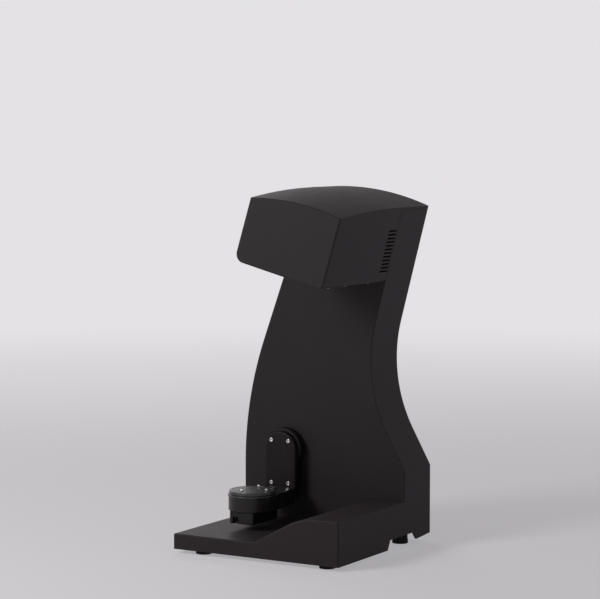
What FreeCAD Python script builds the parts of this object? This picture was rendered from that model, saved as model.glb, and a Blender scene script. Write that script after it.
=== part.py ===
import FreeCAD
import Part
import math
import os

# Open desktop 3-D scanner.  Millimetres, +Z up, +X to the user's right, the user stands at -Y.
# Origin: centre of the footprint, at the height of the table that the rubber feet stand on.
# The column, the head and the swing arm are placed from the base's right side and back,
# because the head and the column share one flank there.

V = FreeCAD.Vector

# ---------------------------------------------------------------- fits
over = 1.0                   # how far a cutting tool runs past the face it cuts
fit_gap = 0.25               # play between a cover and what slips inside it
seam_gap = 0.2               # line between two covers that meet
screw_gap = 0.2              # screw to a plain hole
head_gap = 0.3               # screw head to its counterbore
thread_gap = 0.05            # screw to the wall of its thread
running_gap = 0.03           # shaft to bearing
belt_gap = 0.05              # belt to pulley

# ---------------------------------------------------------------- base
base_width = 243.5
base_depth = 246.0
foot_height = 5.5            # rubber below the skirt
deck_height = 25.5           # top of the low deck on the left
ridge_height = 62.0          # top of the raised side on the right
ridge_inset = 121.35         # foot of the raised side's slope, from the right side
ridge_slope = 28.8           # degrees
ridge_round = 89.0
cover_wall = 2.6
edge_round = 2.0
front_edge_round = 1.8
plate_thickness = 2.0        # sheet steel bottom plate
plate_drop = 6.5             # deck top to the underside of the bottom plate
base_boss_inset = 9.6
deck_skin = 1.0              # left above the blind holes for the cover's screws
well_rim = 9.0               # cover left under the column's walls, round the opening for the frame

foot_radius = 10.5
foot_chamfer = 0.8
foot_floor = 1.6             # rubber over the head of the foot's screw
foot_inset_front = 18.3
foot_inset_back = 36.1
foot_inset_right = 25.5
foot_inset_left = 35.0
post_step = 0.5              # foot post is this much slimmer than the foot
foot_nut_radius = 4.0
foot_nut_height = 1.4

arch_height = 12.5           # hand and cable arch in each side skirt
arch_start = 128.0           # from the front face
arch_length = 83.0
arch_front_run = 7.5
arch_back_run = 12.0
tail_step = 2.3              # the skirt behind the arch is cut a little higher
tail_rise = 2.6

# ---------------------------------------------------------------- column
column_depth = 72.0
column_wall = 3.0
column_edge_round = 1.2
shoulder_height = 101.3      # right side leaves the vertical here
lower_lean = 29.05           # degrees, leaning in over the shoulder
waist_height = 216.1         # where the two straight flanks would meet
waist_round = 194.0
left_bend_height = 181.9
left_lean = 20.0             # degrees
left_round = 490.0
panel_thickness = 3.0        # rear panel
spine_thickness = 4.0
spine_edge_gap = 6.0
spine_tail_left = 16.0       # tail that reaches down into the base, from each side
spine_tail_right = 30.0
spine_tail_overlap = 14.0
spine_tail_gap = 0.5         # tail to the bottom plate
spine_window_round = 10.0
foot_bracket_inset_left = 70.0
foot_bracket_inset_right = 52.0
foot_bracket_half = 18.0
foot_bracket_depth = 30.0
foot_bracket_high = 34.0
foot_bracket_screw_half = 10.0
foot_bracket_screw_high = 22.0
foot_bracket_screw_ahead = 18.0
long_boss_radius = 5.0
short_boss_length = 13.0
web_half = 1.2               # half the thickness of the ribs that carry bosses
low_boss_inset = 22.0
high_boss_inset = 32.0
high_boss_drop = 6.0         # below the waist
low_boss_rise = 14.0
panel_boss_gap = 2.0         # boss to the wall beside it
panel_boss_rise = 18.0
panel_boss_waist_left = 15.0
panel_boss_waist_right = 12.0
panel_boss_drop = 20.0       # below the head

# ---------------------------------------------------------------- head
head_roll = 14.7             # degrees, clockwise seen from the front; also the upper flank's lean
head_height = 345.5          # lower right edge of the head above the table
head_front_lean = 4.2        # degrees, front face leans back
head_wall = 3.0
head_round_left = 12.0
head_round_right = 6.0
head_edge_round = 2.0
head_room = 41.7             # optics beam to the roof's crest
roof_drop = 11.0             # how much lower the crest is at the front face
roof_level_ahead = 9.0       # the roof starts to fall this far ahead of the column
roof_round = 345.0
roof_crest_offset = 42.0     # crest, from the head's right side
vent_count = 12
vent_width = 2.2
vent_pitch = 4.9
vent_length = 20.0
vent_margin = 1.7            # from the column's front face
vent_first = 16.0            # lowest slot above the head's underside
head_boss_length = 26.0
head_boss_gap = 4.0          # boss to the wall beside it
head_boss_drop = 12.0        # upper left boss below the upper right one
floor_front_ledge = 6.0      # head's floor left at the front and back of its opening
floor_ledge_left = 10.0
floor_ledge_right = 9.0
floor_round = 4.0
floor_front_gap = 2.0
floor_back_gap = 1.0

# ---------------------------------------------------------------- swing arm
swing_axis_inset = 176.25    # from the right side
swing_axis_height = 120.3
swing_plate_half = 23.6
swing_plate_round = 3.0
swing_plate_chamfer = 1.2
swing_plate_thickness = 8.0
swing_plate_gap = 13.0       # column front face to the back of the swing plate
swing_screw_across = 13.0
swing_screw_rise = 11.5      # upper pair above the axis
swing_screw_low = 4.0        # lower pair above the arm's top
swing_screw_sink = 1.2
carrier_radius = 27.0
carrier_half = 21.0
carrier_tail = 4.0           # carrier's lower end below the arm's top
carrier_gap = 2.5            # carrier to the column's front face
carrier_floor = 2.0          # left behind its screws
shaft_radius = 7.0
shaft_chamfer = 0.8
seal_width = 5.0
seal_gap = 0.3
arm_reach = 90.0             # column front face to the turntable's axis
arm_top_height = 71.0
arm_top_thickness = 2.5
arm_lip = 1.0
arm_rim = 0.8                # arm's radius beyond the disc's
arm_wall = 2.5
arm_depth = 21.0             # top face to the underside of the arm housing
arm_floor_thickness = 2.0
arm_edge_round = 1.0
leg_half = 19.0
leg_thickness = 4.0
leg_drop = 15.0              # arm's top face to the underside of the leg
leg_gap = 0.5                # leg to the housing's rear gate
leg_nose_gap = 1.0           # leg's round end to the housing's wall
pad_reach = 7.0              # pads on the housing's floor that bear on the leg
pad_length = 14.0
pad_back = 8.0               # swing plate to the rear pad
lower_cover_half = 18.5
lower_cover_length = 62.0
lower_cover_ahead = 27.5     # ahead of the turntable's axis
lower_cover_depth = 15.5
lower_cover_wall = 2.0
lower_cover_round = 3.0
notch_width = 8.0
notch_height = 9.0
notch_depth = 4.0
notch_offset = 8.7           # left of the arm's centre line
arm_post_radius = 3.3
arm_post_inset_x = 5.5
arm_post_inset_front = 8.0
arm_post_inset_back = 5.6
arm_post_foot_radius = 5.0
arm_post_foot_height = 1.5
cap_radius = 7.5
cap_height = 1.5
cap_chamfer = 0.5
cap_step = 1.5               # the cap's rim beyond its hole
cap_from_plate = 22.0

# ---------------------------------------------------------------- turntable and its drive
disc_radius = 30.2
disc_thickness = 4.7
disc_gap = 0.3
disc_chamfer = 0.5
disc_skin = 1.5              # left over the spindle's end
disc_hub_radius = 7.5
disc_hub_gap = 0.6
groove_inset = 3.5           # shallow ring turned in the disc's face
groove_width = 1.0
groove_depth = 0.5
pin_radius = 2.0
pin_height = 3.0
pin_shank_radius = 1.5       # turned down where the pin is pressed into the disc
pin_sink = 3.0
pin_chamfer = 0.4
pin_relief_gap = 0.3         # sunk ring round each pin, so that a plate lies flat
pin_relief_depth = 0.3
pin_inset = 8.7              # from the disc's rim
pin_spread = 98.0            # degrees each side of the first pin
spindle_radius = 2.5
spindle_tail = 1.5
spindle_bearing_radius = 5.5
spindle_bearing_width = 4.0
spindle_boss_wall = 2.0
spindle_boss_drop = 8.0      # boss below the leg
spindle_boss_bore = 1.5      # radial room between the bearings
arm_belt_distance = 20.0
arm_belt_rise = 4.2          # middle of the belt above the leg
arm_belt_width = 4.0
arm_belt_thickness = 0.8
arm_pulley_radius = 11.5     # on the spindle
arm_pulley_teeth = 40
arm_pinion_teeth = 16        # on the motor
arm_motor_radius = 10.0
arm_motor_ear = 13.5         # screw holes of its ears, from its axis
arm_motor_ear_half = 3.5
arm_motor_ear_thickness = 1.5
arm_motor_shaft = 2.0
arm_motor_floor = 3.0
arm_motor_gap = 0.5          # motor to the lower cover's floor
motor_pilot_height = 1.5
arm_motor_pilot = 6.0

# ---------------------------------------------------------------- swing drive
swing_motor_side = 42.3
swing_motor_round = 5.0
swing_motor_length = 26.0
swing_motor_cap = 7.0        # end caps of the motor
swing_motor_step = 0.6
swing_motor_rise = 72.0      # motor axis above the swing axis
swing_motor_shaft = 2.5
swing_motor_pilot = 11.0
swing_motor_pitch_half = 15.5
swing_motor_floor = 3.0
bush_wall = 1.5
bush_length = 5.0
shaft_flat = 0.5
shaft_tail = 1.0             # shafts beyond their pulleys
swing_pulley_radius = 19.0
swing_pulley_teeth = 60
swing_pinion_teeth = 20
swing_belt_width = 6.0
swing_belt_thickness = 1.0
pulley_spare = 3.0           # pulley wider than its belt, rims included
pulley_gap = 4.5             # spine to the pulleys
pulley_rim = 1.2
pulley_rim_thickness = 1.0
tooth_radius = 0.55
pulley_window_count = 5
pulley_window_radius = 2.8
pulley_window_circle = 12.5
bearing_radius = 14.0
bearing_width = 8.0
bearing_sink = 1.0
housing_radius = 20.0
housing_bore_gap = 2.5
housing_flange_radius = 30.0
housing_flange_thickness = 5.0
housing_length = 44.0
housing_proud = 1.0          # behind the spine

# ---------------------------------------------------------------- optics, inside the head
subject_height = 60.0        # tallest thing scanned; the optics aim at its middle
window_across = 54.0
window_margin = 1.0          # window beyond the outermost lenses
window_round = 6.0
screw_strip = 7.1            # floor panel left of the window's clamp frame
bottom_panel_thickness = 2.5
glass_thickness = 3.0
glass_lap = 3.0              # glass beyond the opening on each side
glass_gap = 0.1
clamp_width = 1.5
clamp_lip = 1.5
clamp_height = 2.0           # above the glass
lens_clearance = 0.5         # projector's lens to the glass
beam_thickness = 4.0
beam_half = 26.0
beam_round = 3.0
beam_end_gap = 1.0
beam_flange_high = 20.0
beam_rib_half = 2.0
beam_rib_high = 10.0
beam_rib_setback = 10.0
beam_screw_inset = 6.0
beam_screw_low = 5.5
beam_screw_high = 14.5
camera_spread = 48.0         # each camera from the projector
camera_front_gap = 11.0      # front camera to the head's front face
camera_side = 29.0
camera_round = 2.0
camera_length = 32.0
camera_screw_half = 9.0
camera_pad_step = 1.0
camera_pad_least = 2.0
camera_lens_radius = 12.0
camera_lens_length = 14.0
projector_across = 50.0
projector_along = 40.0
projector_body = 40.0
projector_round = 3.0
projector_screw_across = 15.0
projector_screw_along = 12.0
projector_lens_radius = 13.0
projector_lens_length = 13.0
lens_mouth = 4.0             # depth of the flared mouth
lens_ring = 0.8
lens_rim = 1.0
lens_throat = 0.72           # of the barrel's radius
lens_pane = 0.7
optics_screw_grip = 8.0

# ---------------------------------------------------------------- cooling
fan_side = 60.0
fan_depth = 15.0
fan_round = 4.0
fan_wall = 1.5
fan_gap = 1.0                # fan to the spine
fan_below_beam = 3.3
fan_screw_inset = 5.0
fan_hub_radius = 13.0
fan_hub_wall = 2.0
fan_cup_height = 3.0
fan_cup_step = 1.0
fan_post_radius = 3.0
fan_post_height = 6.0
fan_arm_half = 1.5
fan_arm_height = 2.5
fan_arm_count = 3
fan_arm_turn = 20.0          # degrees
fan_pin_radius = 1.5
fan_pin_tail = 1.5
fan_rotor_gap = 0.5
fan_tip_gap = 2.0
fan_blade_count = 7
fan_blade_chord = 13.0
fan_blade_thickness = 1.2
fan_blade_rake = 38.0        # degrees
fan_blade_root = 0.7
grille_pitch = 6.0
grille_slot = 3.2
grille_round = 1.5
spine_fan_margin = 4.0

# ---------------------------------------------------------------- electronics
board_across = 100.0
board_high = 76.0
board_thickness = 1.6
board_round = 3.0
board_above_motor = 18.55
board_from_flank = 11.85
board_hole_inset = 4.5
standoff_length = 8.0
standoff_radius = 3.0
heat_sink_side = 28.0
heat_sink_base = 3.0
heat_sink_height = 11.0
heat_sink_fins = 7
heat_sink_fin = 1.6
heat_sink_x = 34.0
heat_sink_z = 26.0
driver_count = 3
driver_side = 10.0
driver_height = 2.0
driver_pitch = 16.0
driver_x = 72.0
driver_z = 14.0
capacitor_count = 3
capacitor_radius = 5.0
capacitor_height = 12.0
capacitor_pitch = 13.0
capacitor_x = 16.0
capacitor_z = 22.0
header_count = 3
header_length = 14.0
header_width = 7.0
header_height = 8.0
header_pitch = 22.0
header_x = 20.0
header_z = 2.0

# ---------------------------------------------------------------- sockets
socket_plate_width = 86.0
socket_plate_high = 34.0
socket_plate_inset = 75.75   # its centre, from the right side
socket_plate_rise = 10.0     # above the base's top
socket_plate_thickness = 2.0
socket_plate_lap = 7.0
socket_plate_round = 2.0
socket_window_margin = 4.0
socket_screw_offset = 3.0
socket_nut_radius = 3.0
socket_nut_height = 2.4
switch_offset = -26.0
inlet_offset = 4.0
data_offset = 26.0
switch_half_width = 9.4
switch_half_high = 6.4
switch_depth = 14.0
switch_bezel = 1.2
switch_bezel_height = 1.4
switch_well_half_width = 7.7
switch_well_half_high = 5.2
switch_well_depth = 9.0
switch_cut_gap = 0.1
blade_pitch = 5.0
blade_half = 0.4
blade_half_high = 2.4
blade_length = 7.0
rocker_half_width = 7.3
rocker_half_high = 4.6
rocker_waist = 4.2
rocker_proud = 5.0
rocker_back = 2.2
rocker_pivot_depth = 4.5
rocker_pin_radius = 1.2
rocker_pin_half = 8.7
rocker_pin_end_gap = 0.3
rocker_travel = 12.0         # degrees, off to on
inlet_radius = 4.9
inlet_flange_radius = 6.4
inlet_proud = 1.6
inlet_length = 13.0
inlet_bore = 2.85
inlet_bore_depth = 9.0
inlet_pin_radius = 1.05
inlet_pin_short = 1.0
data_half_width = 6.0
data_half_high = 5.4
data_length = 14.0
data_proud = 1.2
data_wall = 1.6
data_mouth_depth = 9.0
data_tongue_half_width = 2.8
data_tongue_half_high = 1.6
data_tongue_short = 0.5

# ---------------------------------------------------------------- fasteners
m3_radius = 1.5
m3_head_radius = 2.75
m3_head_height = 2.0
m4_radius = 2.0
m4_head_radius = 3.5
m4_head_height = 2.6
case_screw_length = 5.0      # the short M3 screw used for every cover
frame_screw_length = 8.0
long_screw_grip = 9.0
head_screw_grip = 8.0
short_screw_tip = 0.5
swing_screw_grip = 6.0
arm_screw_grip = 3.0
motor_screw_length = 4.0
boss_radius = 4.0

# ---------------------------------------------------------------- derived places
half_width = base_width / 2
front = -base_depth / 2
back = base_depth / 2
column_front = back - column_depth
column_inner = column_front + column_wall
panel_inner = back - panel_thickness
spine_back = panel_inner - fan_depth - fan_gap
spine_front = spine_back - spine_thickness
plate_height = deck_height - plate_drop
plate_top = plate_height + plate_thickness
thread_radius = m3_radius + thread_gap
m3_hole = m3_radius + screw_gap
m4_hole = m4_radius + screw_gap

swing_axis_x = half_width - swing_axis_inset
turntable_y = column_front - arm_reach
plate_back = column_front - swing_plate_gap
plate_front = plate_back - swing_plate_thickness
carrier_back = column_front - carrier_gap
arm_radius = disc_radius + arm_rim
arm_floor_height = arm_top_height - arm_depth
leg_height = arm_top_height - leg_drop
leg_top = leg_height + leg_thickness
lower_cover_height = arm_floor_height - lower_cover_depth
lower_cover_front = turntable_y - lower_cover_ahead
boss_bottom = leg_height - spindle_boss_drop
disc_bottom = arm_top_height + disc_gap
disc_top = disc_bottom + disc_thickness
arm_motor_y = turntable_y + arm_belt_distance
arm_belt_height = leg_top + arm_belt_rise
arm_pinion_radius = arm_pulley_radius * arm_pinion_teeth / arm_pulley_teeth
swing_motor_z = swing_axis_height + swing_motor_rise
swing_pinion_radius = swing_pulley_radius * swing_pinion_teeth / swing_pulley_teeth
pulley_width = swing_belt_width + pulley_spare
belt_y = spine_back + pulley_gap + pulley_width / 2
seal_radius = shaft_radius + seal_width
housing_back = spine_back + housing_proud
housing_front = housing_back - housing_length

roll = math.radians(head_roll)
waist_inset = (waist_height - shoulder_height) * math.tan(math.radians(lower_lean))
head_x = half_width - waist_inset + (head_height - waist_height) * math.tan(roll)
head_front = turntable_y - camera_spread - camera_side / 2 - camera_front_gap
head_back = column_front - seam_gap
aim_dx = swing_axis_x - head_x
aim_dz = disc_top + subject_height / 2 - head_height
optics_a = aim_dx * math.cos(roll) - aim_dz * math.sin(roll)
clamp_half = window_across / 2 + glass_lap + clamp_width
head_width = clamp_half + screw_strip + fit_gap + head_round_left - optics_a
window_along = 2 * (camera_spread + camera_lens_radius + window_margin)
glass_seat = head_wall + bottom_panel_thickness
glass_top = glass_seat + glass_thickness
beam_height = glass_top + lens_clearance + projector_lens_length + projector_body
beam_top = beam_height + beam_thickness
roof_height = beam_height + head_room
camera_distance = head_height - disc_top
camera_toe_in = math.degrees(math.atan2(camera_spread, camera_distance))
camera_pad = camera_pad_least + camera_side / 2 * math.sin(math.radians(camera_toe_in))
fan_a = optics_a
fan_c = beam_height - fan_below_beam - fan_side / 2
fan_x = head_x + fan_a * math.cos(roll) + fan_c * math.sin(roll)
fan_z = head_height - fan_a * math.sin(roll) + fan_c * math.cos(roll)

board_bottom = swing_motor_z + swing_motor_side / 2 + board_above_motor
board_front = spine_front - standoff_length - board_thickness
socket_plate_x = half_width - socket_plate_inset
socket_plate_bottom = ridge_height + socket_plate_rise
socket_z = socket_plate_bottom + socket_plate_high / 2
switch_x = socket_plate_x + switch_offset
inlet_x = socket_plate_x + inlet_offset
data_x = socket_plate_x + data_offset
rocker_y = panel_inner - rocker_pivot_depth

foot_spots = [
    (half_width - foot_inset_right, front + foot_inset_front),
    (-half_width + foot_inset_left, front + foot_inset_front),
    (half_width - foot_inset_right, back - foot_inset_back),
    (-half_width + foot_inset_left, back - foot_inset_back),
]


# ---------------------------------------------------------------- small helpers
def unit(a, b):
    length = math.hypot(a, b)
    return a / length, b / length


def rounded_wire(corners, radii, place):
    """Closed wire through (a, b) corners, each rounded by its own radius; 0 leaves it sharp."""
    count = len(corners)
    ends = []
    for i in range(count):
        va, vb = corners[i]
        pa, pb = unit(corners[i - 1][0] - va, corners[i - 1][1] - vb)
        na, nb = unit(corners[(i + 1) % count][0] - va, corners[(i + 1) % count][1] - vb)
        half = math.acos(max(-1.0, min(1.0, pa * na + pb * nb))) / 2
        reach = radii[i] / math.tan(half)
        depth = radii[i] / math.sin(half) - radii[i]
        ma, mb = unit(pa + na, pb + nb)
        ends.append((
            (va + reach * pa, vb + reach * pb),
            (va + depth * ma, vb + depth * mb),
            (va + reach * na, vb + reach * nb),
        ))
    edges = []
    for i in range(count):
        start, middle, end = ends[i]
        if radii[i]:
            edges.append(Part.Arc(place(*start), place(*middle), place(*end)).toShape())
        following = ends[(i + 1) % count][0]
        edges.append(Part.LineSegment(place(*end), place(*following)).toShape())
    return Part.Wire(edges)


def along_x(corners, x0, x1):
    wire = rounded_wire(corners, [0] * len(corners), lambda a, b: V(x0, a, b))
    return Part.Face(wire).extrude(V(x1 - x0, 0, 0))


def along_y(corners, radii, y0, y1, inset=0.0):
    """Prism of an (x, z) outline from y0 to y1, its outline drawn in by inset."""
    wire = rounded_wire(corners, radii, lambda a, b: V(a, y0, b))
    if inset:
        wire = wire.makeOffset2D(-inset)
    return Part.Face(wire).extrude(V(0, y1 - y0, 0))


def rectangle(a0, a1, b0, b1):
    return [(a0, b0), (a1, b0), (a1, b1), (a0, b1)]


def box(x0, x1, y0, y1, z0, z1):
    return Part.makeBox(x1 - x0, y1 - y0, z1 - z0, V(x0, y0, z0))


def block_y(x0, x1, z0, z1, y0, y1, radius):
    """Block whose four edges along Y are rounded."""
    return along_y(rectangle(x0, x1, z0, z1), [radius] * 4, y0, y1)


def block_z(x0, x1, y0, y1, z0, z1, radius):
    """Block whose four upright edges are rounded."""
    wire = rounded_wire(rectangle(x0, x1, y0, y1), [radius] * 4, lambda a, b: V(a, b, z0))
    return Part.Face(wire).extrude(V(0, 0, z1 - z0))


def rod_x(x0, x1, y, z, radius):
    return Part.makeCylinder(radius, x1 - x0, V(x0, y, z), V(1, 0, 0))


def rod_y(x, z, radius, y0, y1):
    return Part.makeCylinder(radius, y1 - y0, V(x, y0, z), V(0, 1, 0))


def rod_z(x, y, radius, z0, z1):
    return Part.makeCylinder(radius, z1 - z0, V(x, y, z0), V(0, 0, 1))


def joined(shapes):
    return shapes[0].multiFuse(shapes[1:]).removeSplitter()


def cut_all(shape, tools):
    return shape.cut(Part.makeCompound(tools))


def all_signs(half_x, half_z):
    return [(sx * half_x, sz * half_z) for sx in (-1, 1) for sz in (-1, 1)]


def edges_at(shape, axis, value, margin=0.01):
    """The edges that lie wholly in the plane axis = value."""
    low, high = axis + "Min", axis + "Max"
    return [e for e in shape.Edges
            if abs(getattr(e.BoundBox, low) - value) < margin and abs(getattr(e.BoundBox, high) - value) < margin]


def in_head(shape):
    """From the head's own frame (a to the right, y, c up from its underside) to the model's."""
    placed = shape.copy()
    placed.rotate(V(0, 0, 0), V(0, 1, 0), head_roll)
    placed.translate(V(head_x, 0, head_height))
    return placed


def hexagon(radius, height, x=0.0, y=0.0, z=0.0):
    """Upright six-sided prism; radius reaches its corners."""
    corners = [V(x + radius * math.cos(math.radians(60 * k)), y + radius * math.sin(math.radians(60 * k)), z)
               for k in range(7)]
    return Part.Face(Part.makePolygon(corners)).extrude(V(0, 0, height))


def screw(length, radius, head_radius, head_height):
    """Socket screw along -Z, the underside of its head at the origin."""
    socket_depth = head_height * 0.6
    head = Part.makeCylinder(head_radius, head_height)
    head = head.makeChamfer(head_height * 0.15, edges_at(head, "Z", head_height))
    head = head.cut(hexagon(head_radius * 0.5, head_height, z=head_height - socket_depth))
    return joined([head, Part.makeCylinder(radius, length, V(0, 0, -length))])


def m3(length):
    return screw(length, m3_radius, m3_head_radius, m3_head_height)


def m4(length):
    return screw(length, m4_radius, m4_head_radius, m4_head_height)


def aimed(shape, point, direction):
    """A screw turned so that its head looks along direction, and moved to point."""
    turned = shape.copy()
    turned.Placement = FreeCAD.Placement(V(*point), FreeCAD.Rotation(V(0, 0, 1), V(*direction)))
    return turned


def timing_pulley(radius, width, bore, teeth):
    """Rimmed pulley on the Z axis, its middle at the origin, with shallow round tooth gaps."""
    half = width / 2
    body = rod_z(0, 0, radius, -half, half)
    rims = [rod_z(0, 0, radius + pulley_rim, z, z + pulley_rim_thickness)
            for z in (-half, half - pulley_rim_thickness)]
    gaps = []
    for k in range(teeth):
        angle = 2 * math.pi * k / teeth
        gaps.append(rod_z(radius * math.cos(angle), radius * math.sin(angle), tooth_radius,
                          pulley_rim_thickness - half, half - pulley_rim_thickness))
    return cut_all(joined([body] + rims), gaps + [rod_z(0, 0, bore, -half - over, half + over)])


def belt_loop(b0, r0, b1, r1, place, run):
    """Belt round two circles of radius r0 and r1 at b0 and b1 on one line; run is (thickness, extrusion)."""
    def loop(grow):
        ra, rb = r0 + grow, r1 + grow
        lean = math.asin((ra - rb) / (b1 - b0))
        ca, sa = math.cos(lean), math.sin(lean)
        low = [(ra * ca, b0 + ra * sa), (-ra * ca, b0 + ra * sa)]
        high = [(rb * ca, b1 + rb * sa), (-rb * ca, b1 + rb * sa)]
        return Part.Wire([
            Part.Arc(place(*low[1]), place(0, b0 - ra), place(*low[0])).toShape(),
            Part.LineSegment(place(*low[0]), place(*high[0])).toShape(),
            Part.Arc(place(*high[0]), place(0, b1 + rb), place(*high[1])).toShape(),
            Part.LineSegment(place(*high[1]), place(*low[1])).toShape(),
        ])
    thickness, extrusion = run
    band = Part.Face(loop(belt_gap + thickness)).cut(Part.Face(loop(belt_gap)))
    return band.Faces[0].extrude(extrusion)


# ---------------------------------------------------------------- outlines
def base_outline():
    ridge_x = half_width - ridge_inset
    crest_x = ridge_x + (ridge_height - deck_height) / math.tan(math.radians(ridge_slope))
    corners = [
        (-half_width, foot_height), (-half_width, deck_height), (ridge_x, deck_height),
        (crest_x, ridge_height), (half_width, ridge_height), (half_width, foot_height),
    ]
    return corners, [0, edge_round, 0, ridge_round, edge_round, 0]


def left_flank(z):
    """x of the column's straight upper left flank at height z."""
    return -half_width + (z - left_bend_height) * math.tan(math.radians(left_lean))


def right_flank(z):
    """x of the column's straight upper right flank at height z."""
    return half_width - waist_inset + (z - waist_height) * math.tan(roll)


def column_outline(sunk=0.0):
    """Front view of the column, drawn up past the roof, which is cut afterwards, and sunk into the base cover."""
    top = head_height + 2 * roof_height
    foot = deck_height - sunk
    corners = [
        (-half_width, foot), (-half_width, left_bend_height), (left_flank(top), top),
        (right_flank(top), top), (right_flank(waist_height), waist_height),
        (half_width, shoulder_height), (half_width, foot),
    ]
    return corners, [0, left_round, 0, 0, waist_round, edge_round, 0]


def column_prism(y0, y1, inset):
    """The column's outline between y0 and y1, drawn in all round and standing on the base cover."""
    corners, radii = column_outline(inset)
    base_corners, base_radii = base_outline()
    standing = along_y(base_corners, base_radii, front, back + over)
    standing.translate(V(0, 0, seam_gap))
    return along_y(corners, radii, y0, y1, inset).cut(standing)


def above_roof(lowered):
    """All the space above the roof's skin, or above a skin that lies lowered under it."""
    centre = roof_height - lowered - roof_round
    reach = head_width + roof_crest_offset
    ceiling = 3 * roof_height
    level_start = column_front - roof_level_ahead
    run = level_start - head_front
    fall_round = (run * run + roof_drop * roof_drop) / (2 * roof_drop)

    def on_arc(da):
        return V(da - roof_crest_offset, level_start, centre + math.sqrt(roof_round ** 2 - da * da))

    left, middle, right = on_arc(-reach), on_arc(0), on_arc(reach)
    top_left = V(left.x, level_start, ceiling)
    top_right = V(right.x, level_start, ceiling)
    section = Part.Face(Part.Wire([
        Part.Arc(left, middle, right).toShape(),
        Part.LineSegment(right, top_right).toShape(),
        Part.LineSegment(top_right, top_left).toShape(),
        Part.LineSegment(top_left, left).toShape(),
    ]))
    level = section.extrude(V(0, base_depth, 0))
    past_front = math.degrees(math.asin(run / fall_round)) * 1.4
    falling = section.revolve(V(0, level_start, roof_height - fall_round), V(1, 0, 0), past_front)
    return in_head(level.fuse(falling))


def head_outline():
    """Front view of the head in its own frame, drawn up past the roof."""
    corners = [(0, 0), (-head_width, 0), (-head_width, 2 * roof_height), (0, 2 * roof_height)]
    return corners, [head_round_right, head_round_left, 0, 0]


def ahead_of_face(setback):
    """All the space in front of the head's leaning front face, moved back by setback."""
    lean = math.tan(math.radians(head_front_lean))
    top = 2 * roof_height
    y0 = head_front + setback
    corners = [(y0 - lean * top, -top), (y0 + lean * top, top), (y0 - top, top), (y0 - top, -top)]
    return in_head(along_x(corners, -2 * head_width, head_width))


# ---------------------------------------------------------------- base pieces
def base_boss_spots():
    x_far = half_width - base_boss_inset
    y_near = front + base_boss_inset
    y_middle = front + arch_start - base_boss_inset
    y_far = back - base_boss_inset
    return [(-x_far, y_near), (0, y_near), (x_far, y_near), (-x_far, y_middle), (x_far, y_middle),
            (-x_far, y_far), (x_far, y_far)]


def skirt_cuts():
    """The arches in both side skirts, and the raised lower edge behind them."""
    x0, x1 = -half_width - over, half_width + over
    y0 = front + arch_start
    y1 = y0 + arch_length
    below = foot_height - over
    top = foot_height + arch_height
    arch = along_x([(y0, below), (y0 + arch_front_run, top), (y1 - arch_back_run, top), (y1, below)], x0, x1)
    tail_y = y1 - arch_back_run / 2
    tail_top = foot_height + tail_step
    tail = along_x([(tail_y, below), (tail_y, tail_top), (back + over, tail_top + tail_rise),
                    (back + over, below)], x0, x1)
    return [arch, tail]


def base_cover():
    """Skirt and top of the base in one moulding, with bosses for the bottom plate."""
    corners, radii = base_outline()
    outer = along_y(corners, radii, front, back)
    front_edges = [e for e in edges_at(outer, "Y", front) if e.BoundBox.ZMax > foot_height + over]
    outer = outer.makeFillet(front_edge_round, front_edges)
    hollow = along_y(corners, radii, front + cover_wall, back - cover_wall, cover_wall)
    below = box(-half_width + cover_wall, half_width - cover_wall, front + cover_wall, back - cover_wall,
                foot_height - over, foot_height + cover_wall + over)
    bosses = [rod_z(x, y, boss_radius, plate_top, ridge_height).common(outer) for x, y in base_boss_spots()]
    threads = [rod_z(x, y, thread_radius, plate_top - over, deck_height - deck_skin) for x, y in base_boss_spots()]
    well = box(-half_width + well_rim, half_width - well_rim, column_front + well_rim, back - well_rim,
               deck_height - cover_wall - over, ridge_height + over)
    shell = joined([cut_all(outer, [hollow, below])] + bosses)
    return cut_all(shell, threads + skirt_cuts() + [well])


def base_plate():
    inset = cover_wall + fit_gap
    z0, z1 = plate_height - over, plate_top + over
    sheet = block_z(-half_width + inset, half_width - inset, front + inset, back - inset,
                    plate_height, plate_top, edge_round)
    holes = [rod_z(x, y, m3_hole, z0, z1) for x, y in base_boss_spots()]
    holes += [rod_z(x, y, m4_hole, z0, z1) for x, y in foot_spots + spine_foot_holes()]
    return cut_all(sheet, holes)


def foot_posts():
    """Spacer turned from bar under the bottom plate, one over each rubber foot."""
    return [rod_z(x, y, foot_radius - post_step, foot_height, plate_height).cut(
        rod_z(x, y, m4_hole, foot_height - over, plate_height + over)) for x, y in foot_spots]


def rubber_feet():
    feet = []
    for x, y in foot_spots:
        foot = rod_z(x, y, foot_radius, 0, foot_height)
        foot = foot.makeChamfer(foot_chamfer, edges_at(foot, "Z", 0))
        recess = rod_z(x, y, m4_head_radius + 2 * head_gap, -over, foot_height - foot_floor)
        feet.append(cut_all(foot, [recess, rod_z(x, y, m4_hole, -over, foot_height + over)]))
    return feet


def foot_screws():
    """M4 screws up through each foot and post, with the thin nut that holds them above the plate."""
    seat = foot_height - foot_floor
    length = plate_top + foot_nut_height - seat
    return [joined([aimed(m4(length), (x, y, seat), (0, 0, -1)),
                    hexagon(foot_nut_radius, foot_nut_height, x, y, plate_top)]) for x, y in foot_spots]


def case_screws():
    """The same short M3 screw in the bottom plate, the rear panel and the head's floor."""
    short = m3(case_screw_length)
    seat = back - m3_head_height
    screws = [aimed(short, (x, y, plate_height), (0, 0, -1)) for x, y in base_boss_spots()]
    screws += [aimed(short, (x, seat, z), (0, 1, 0)) for x, z in panel_boss_spots()]
    screws += [in_head(aimed(short, (a, y, 0), (0, 0, -1))) for a, y in bottom_panel_spots()]
    return screws


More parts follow.
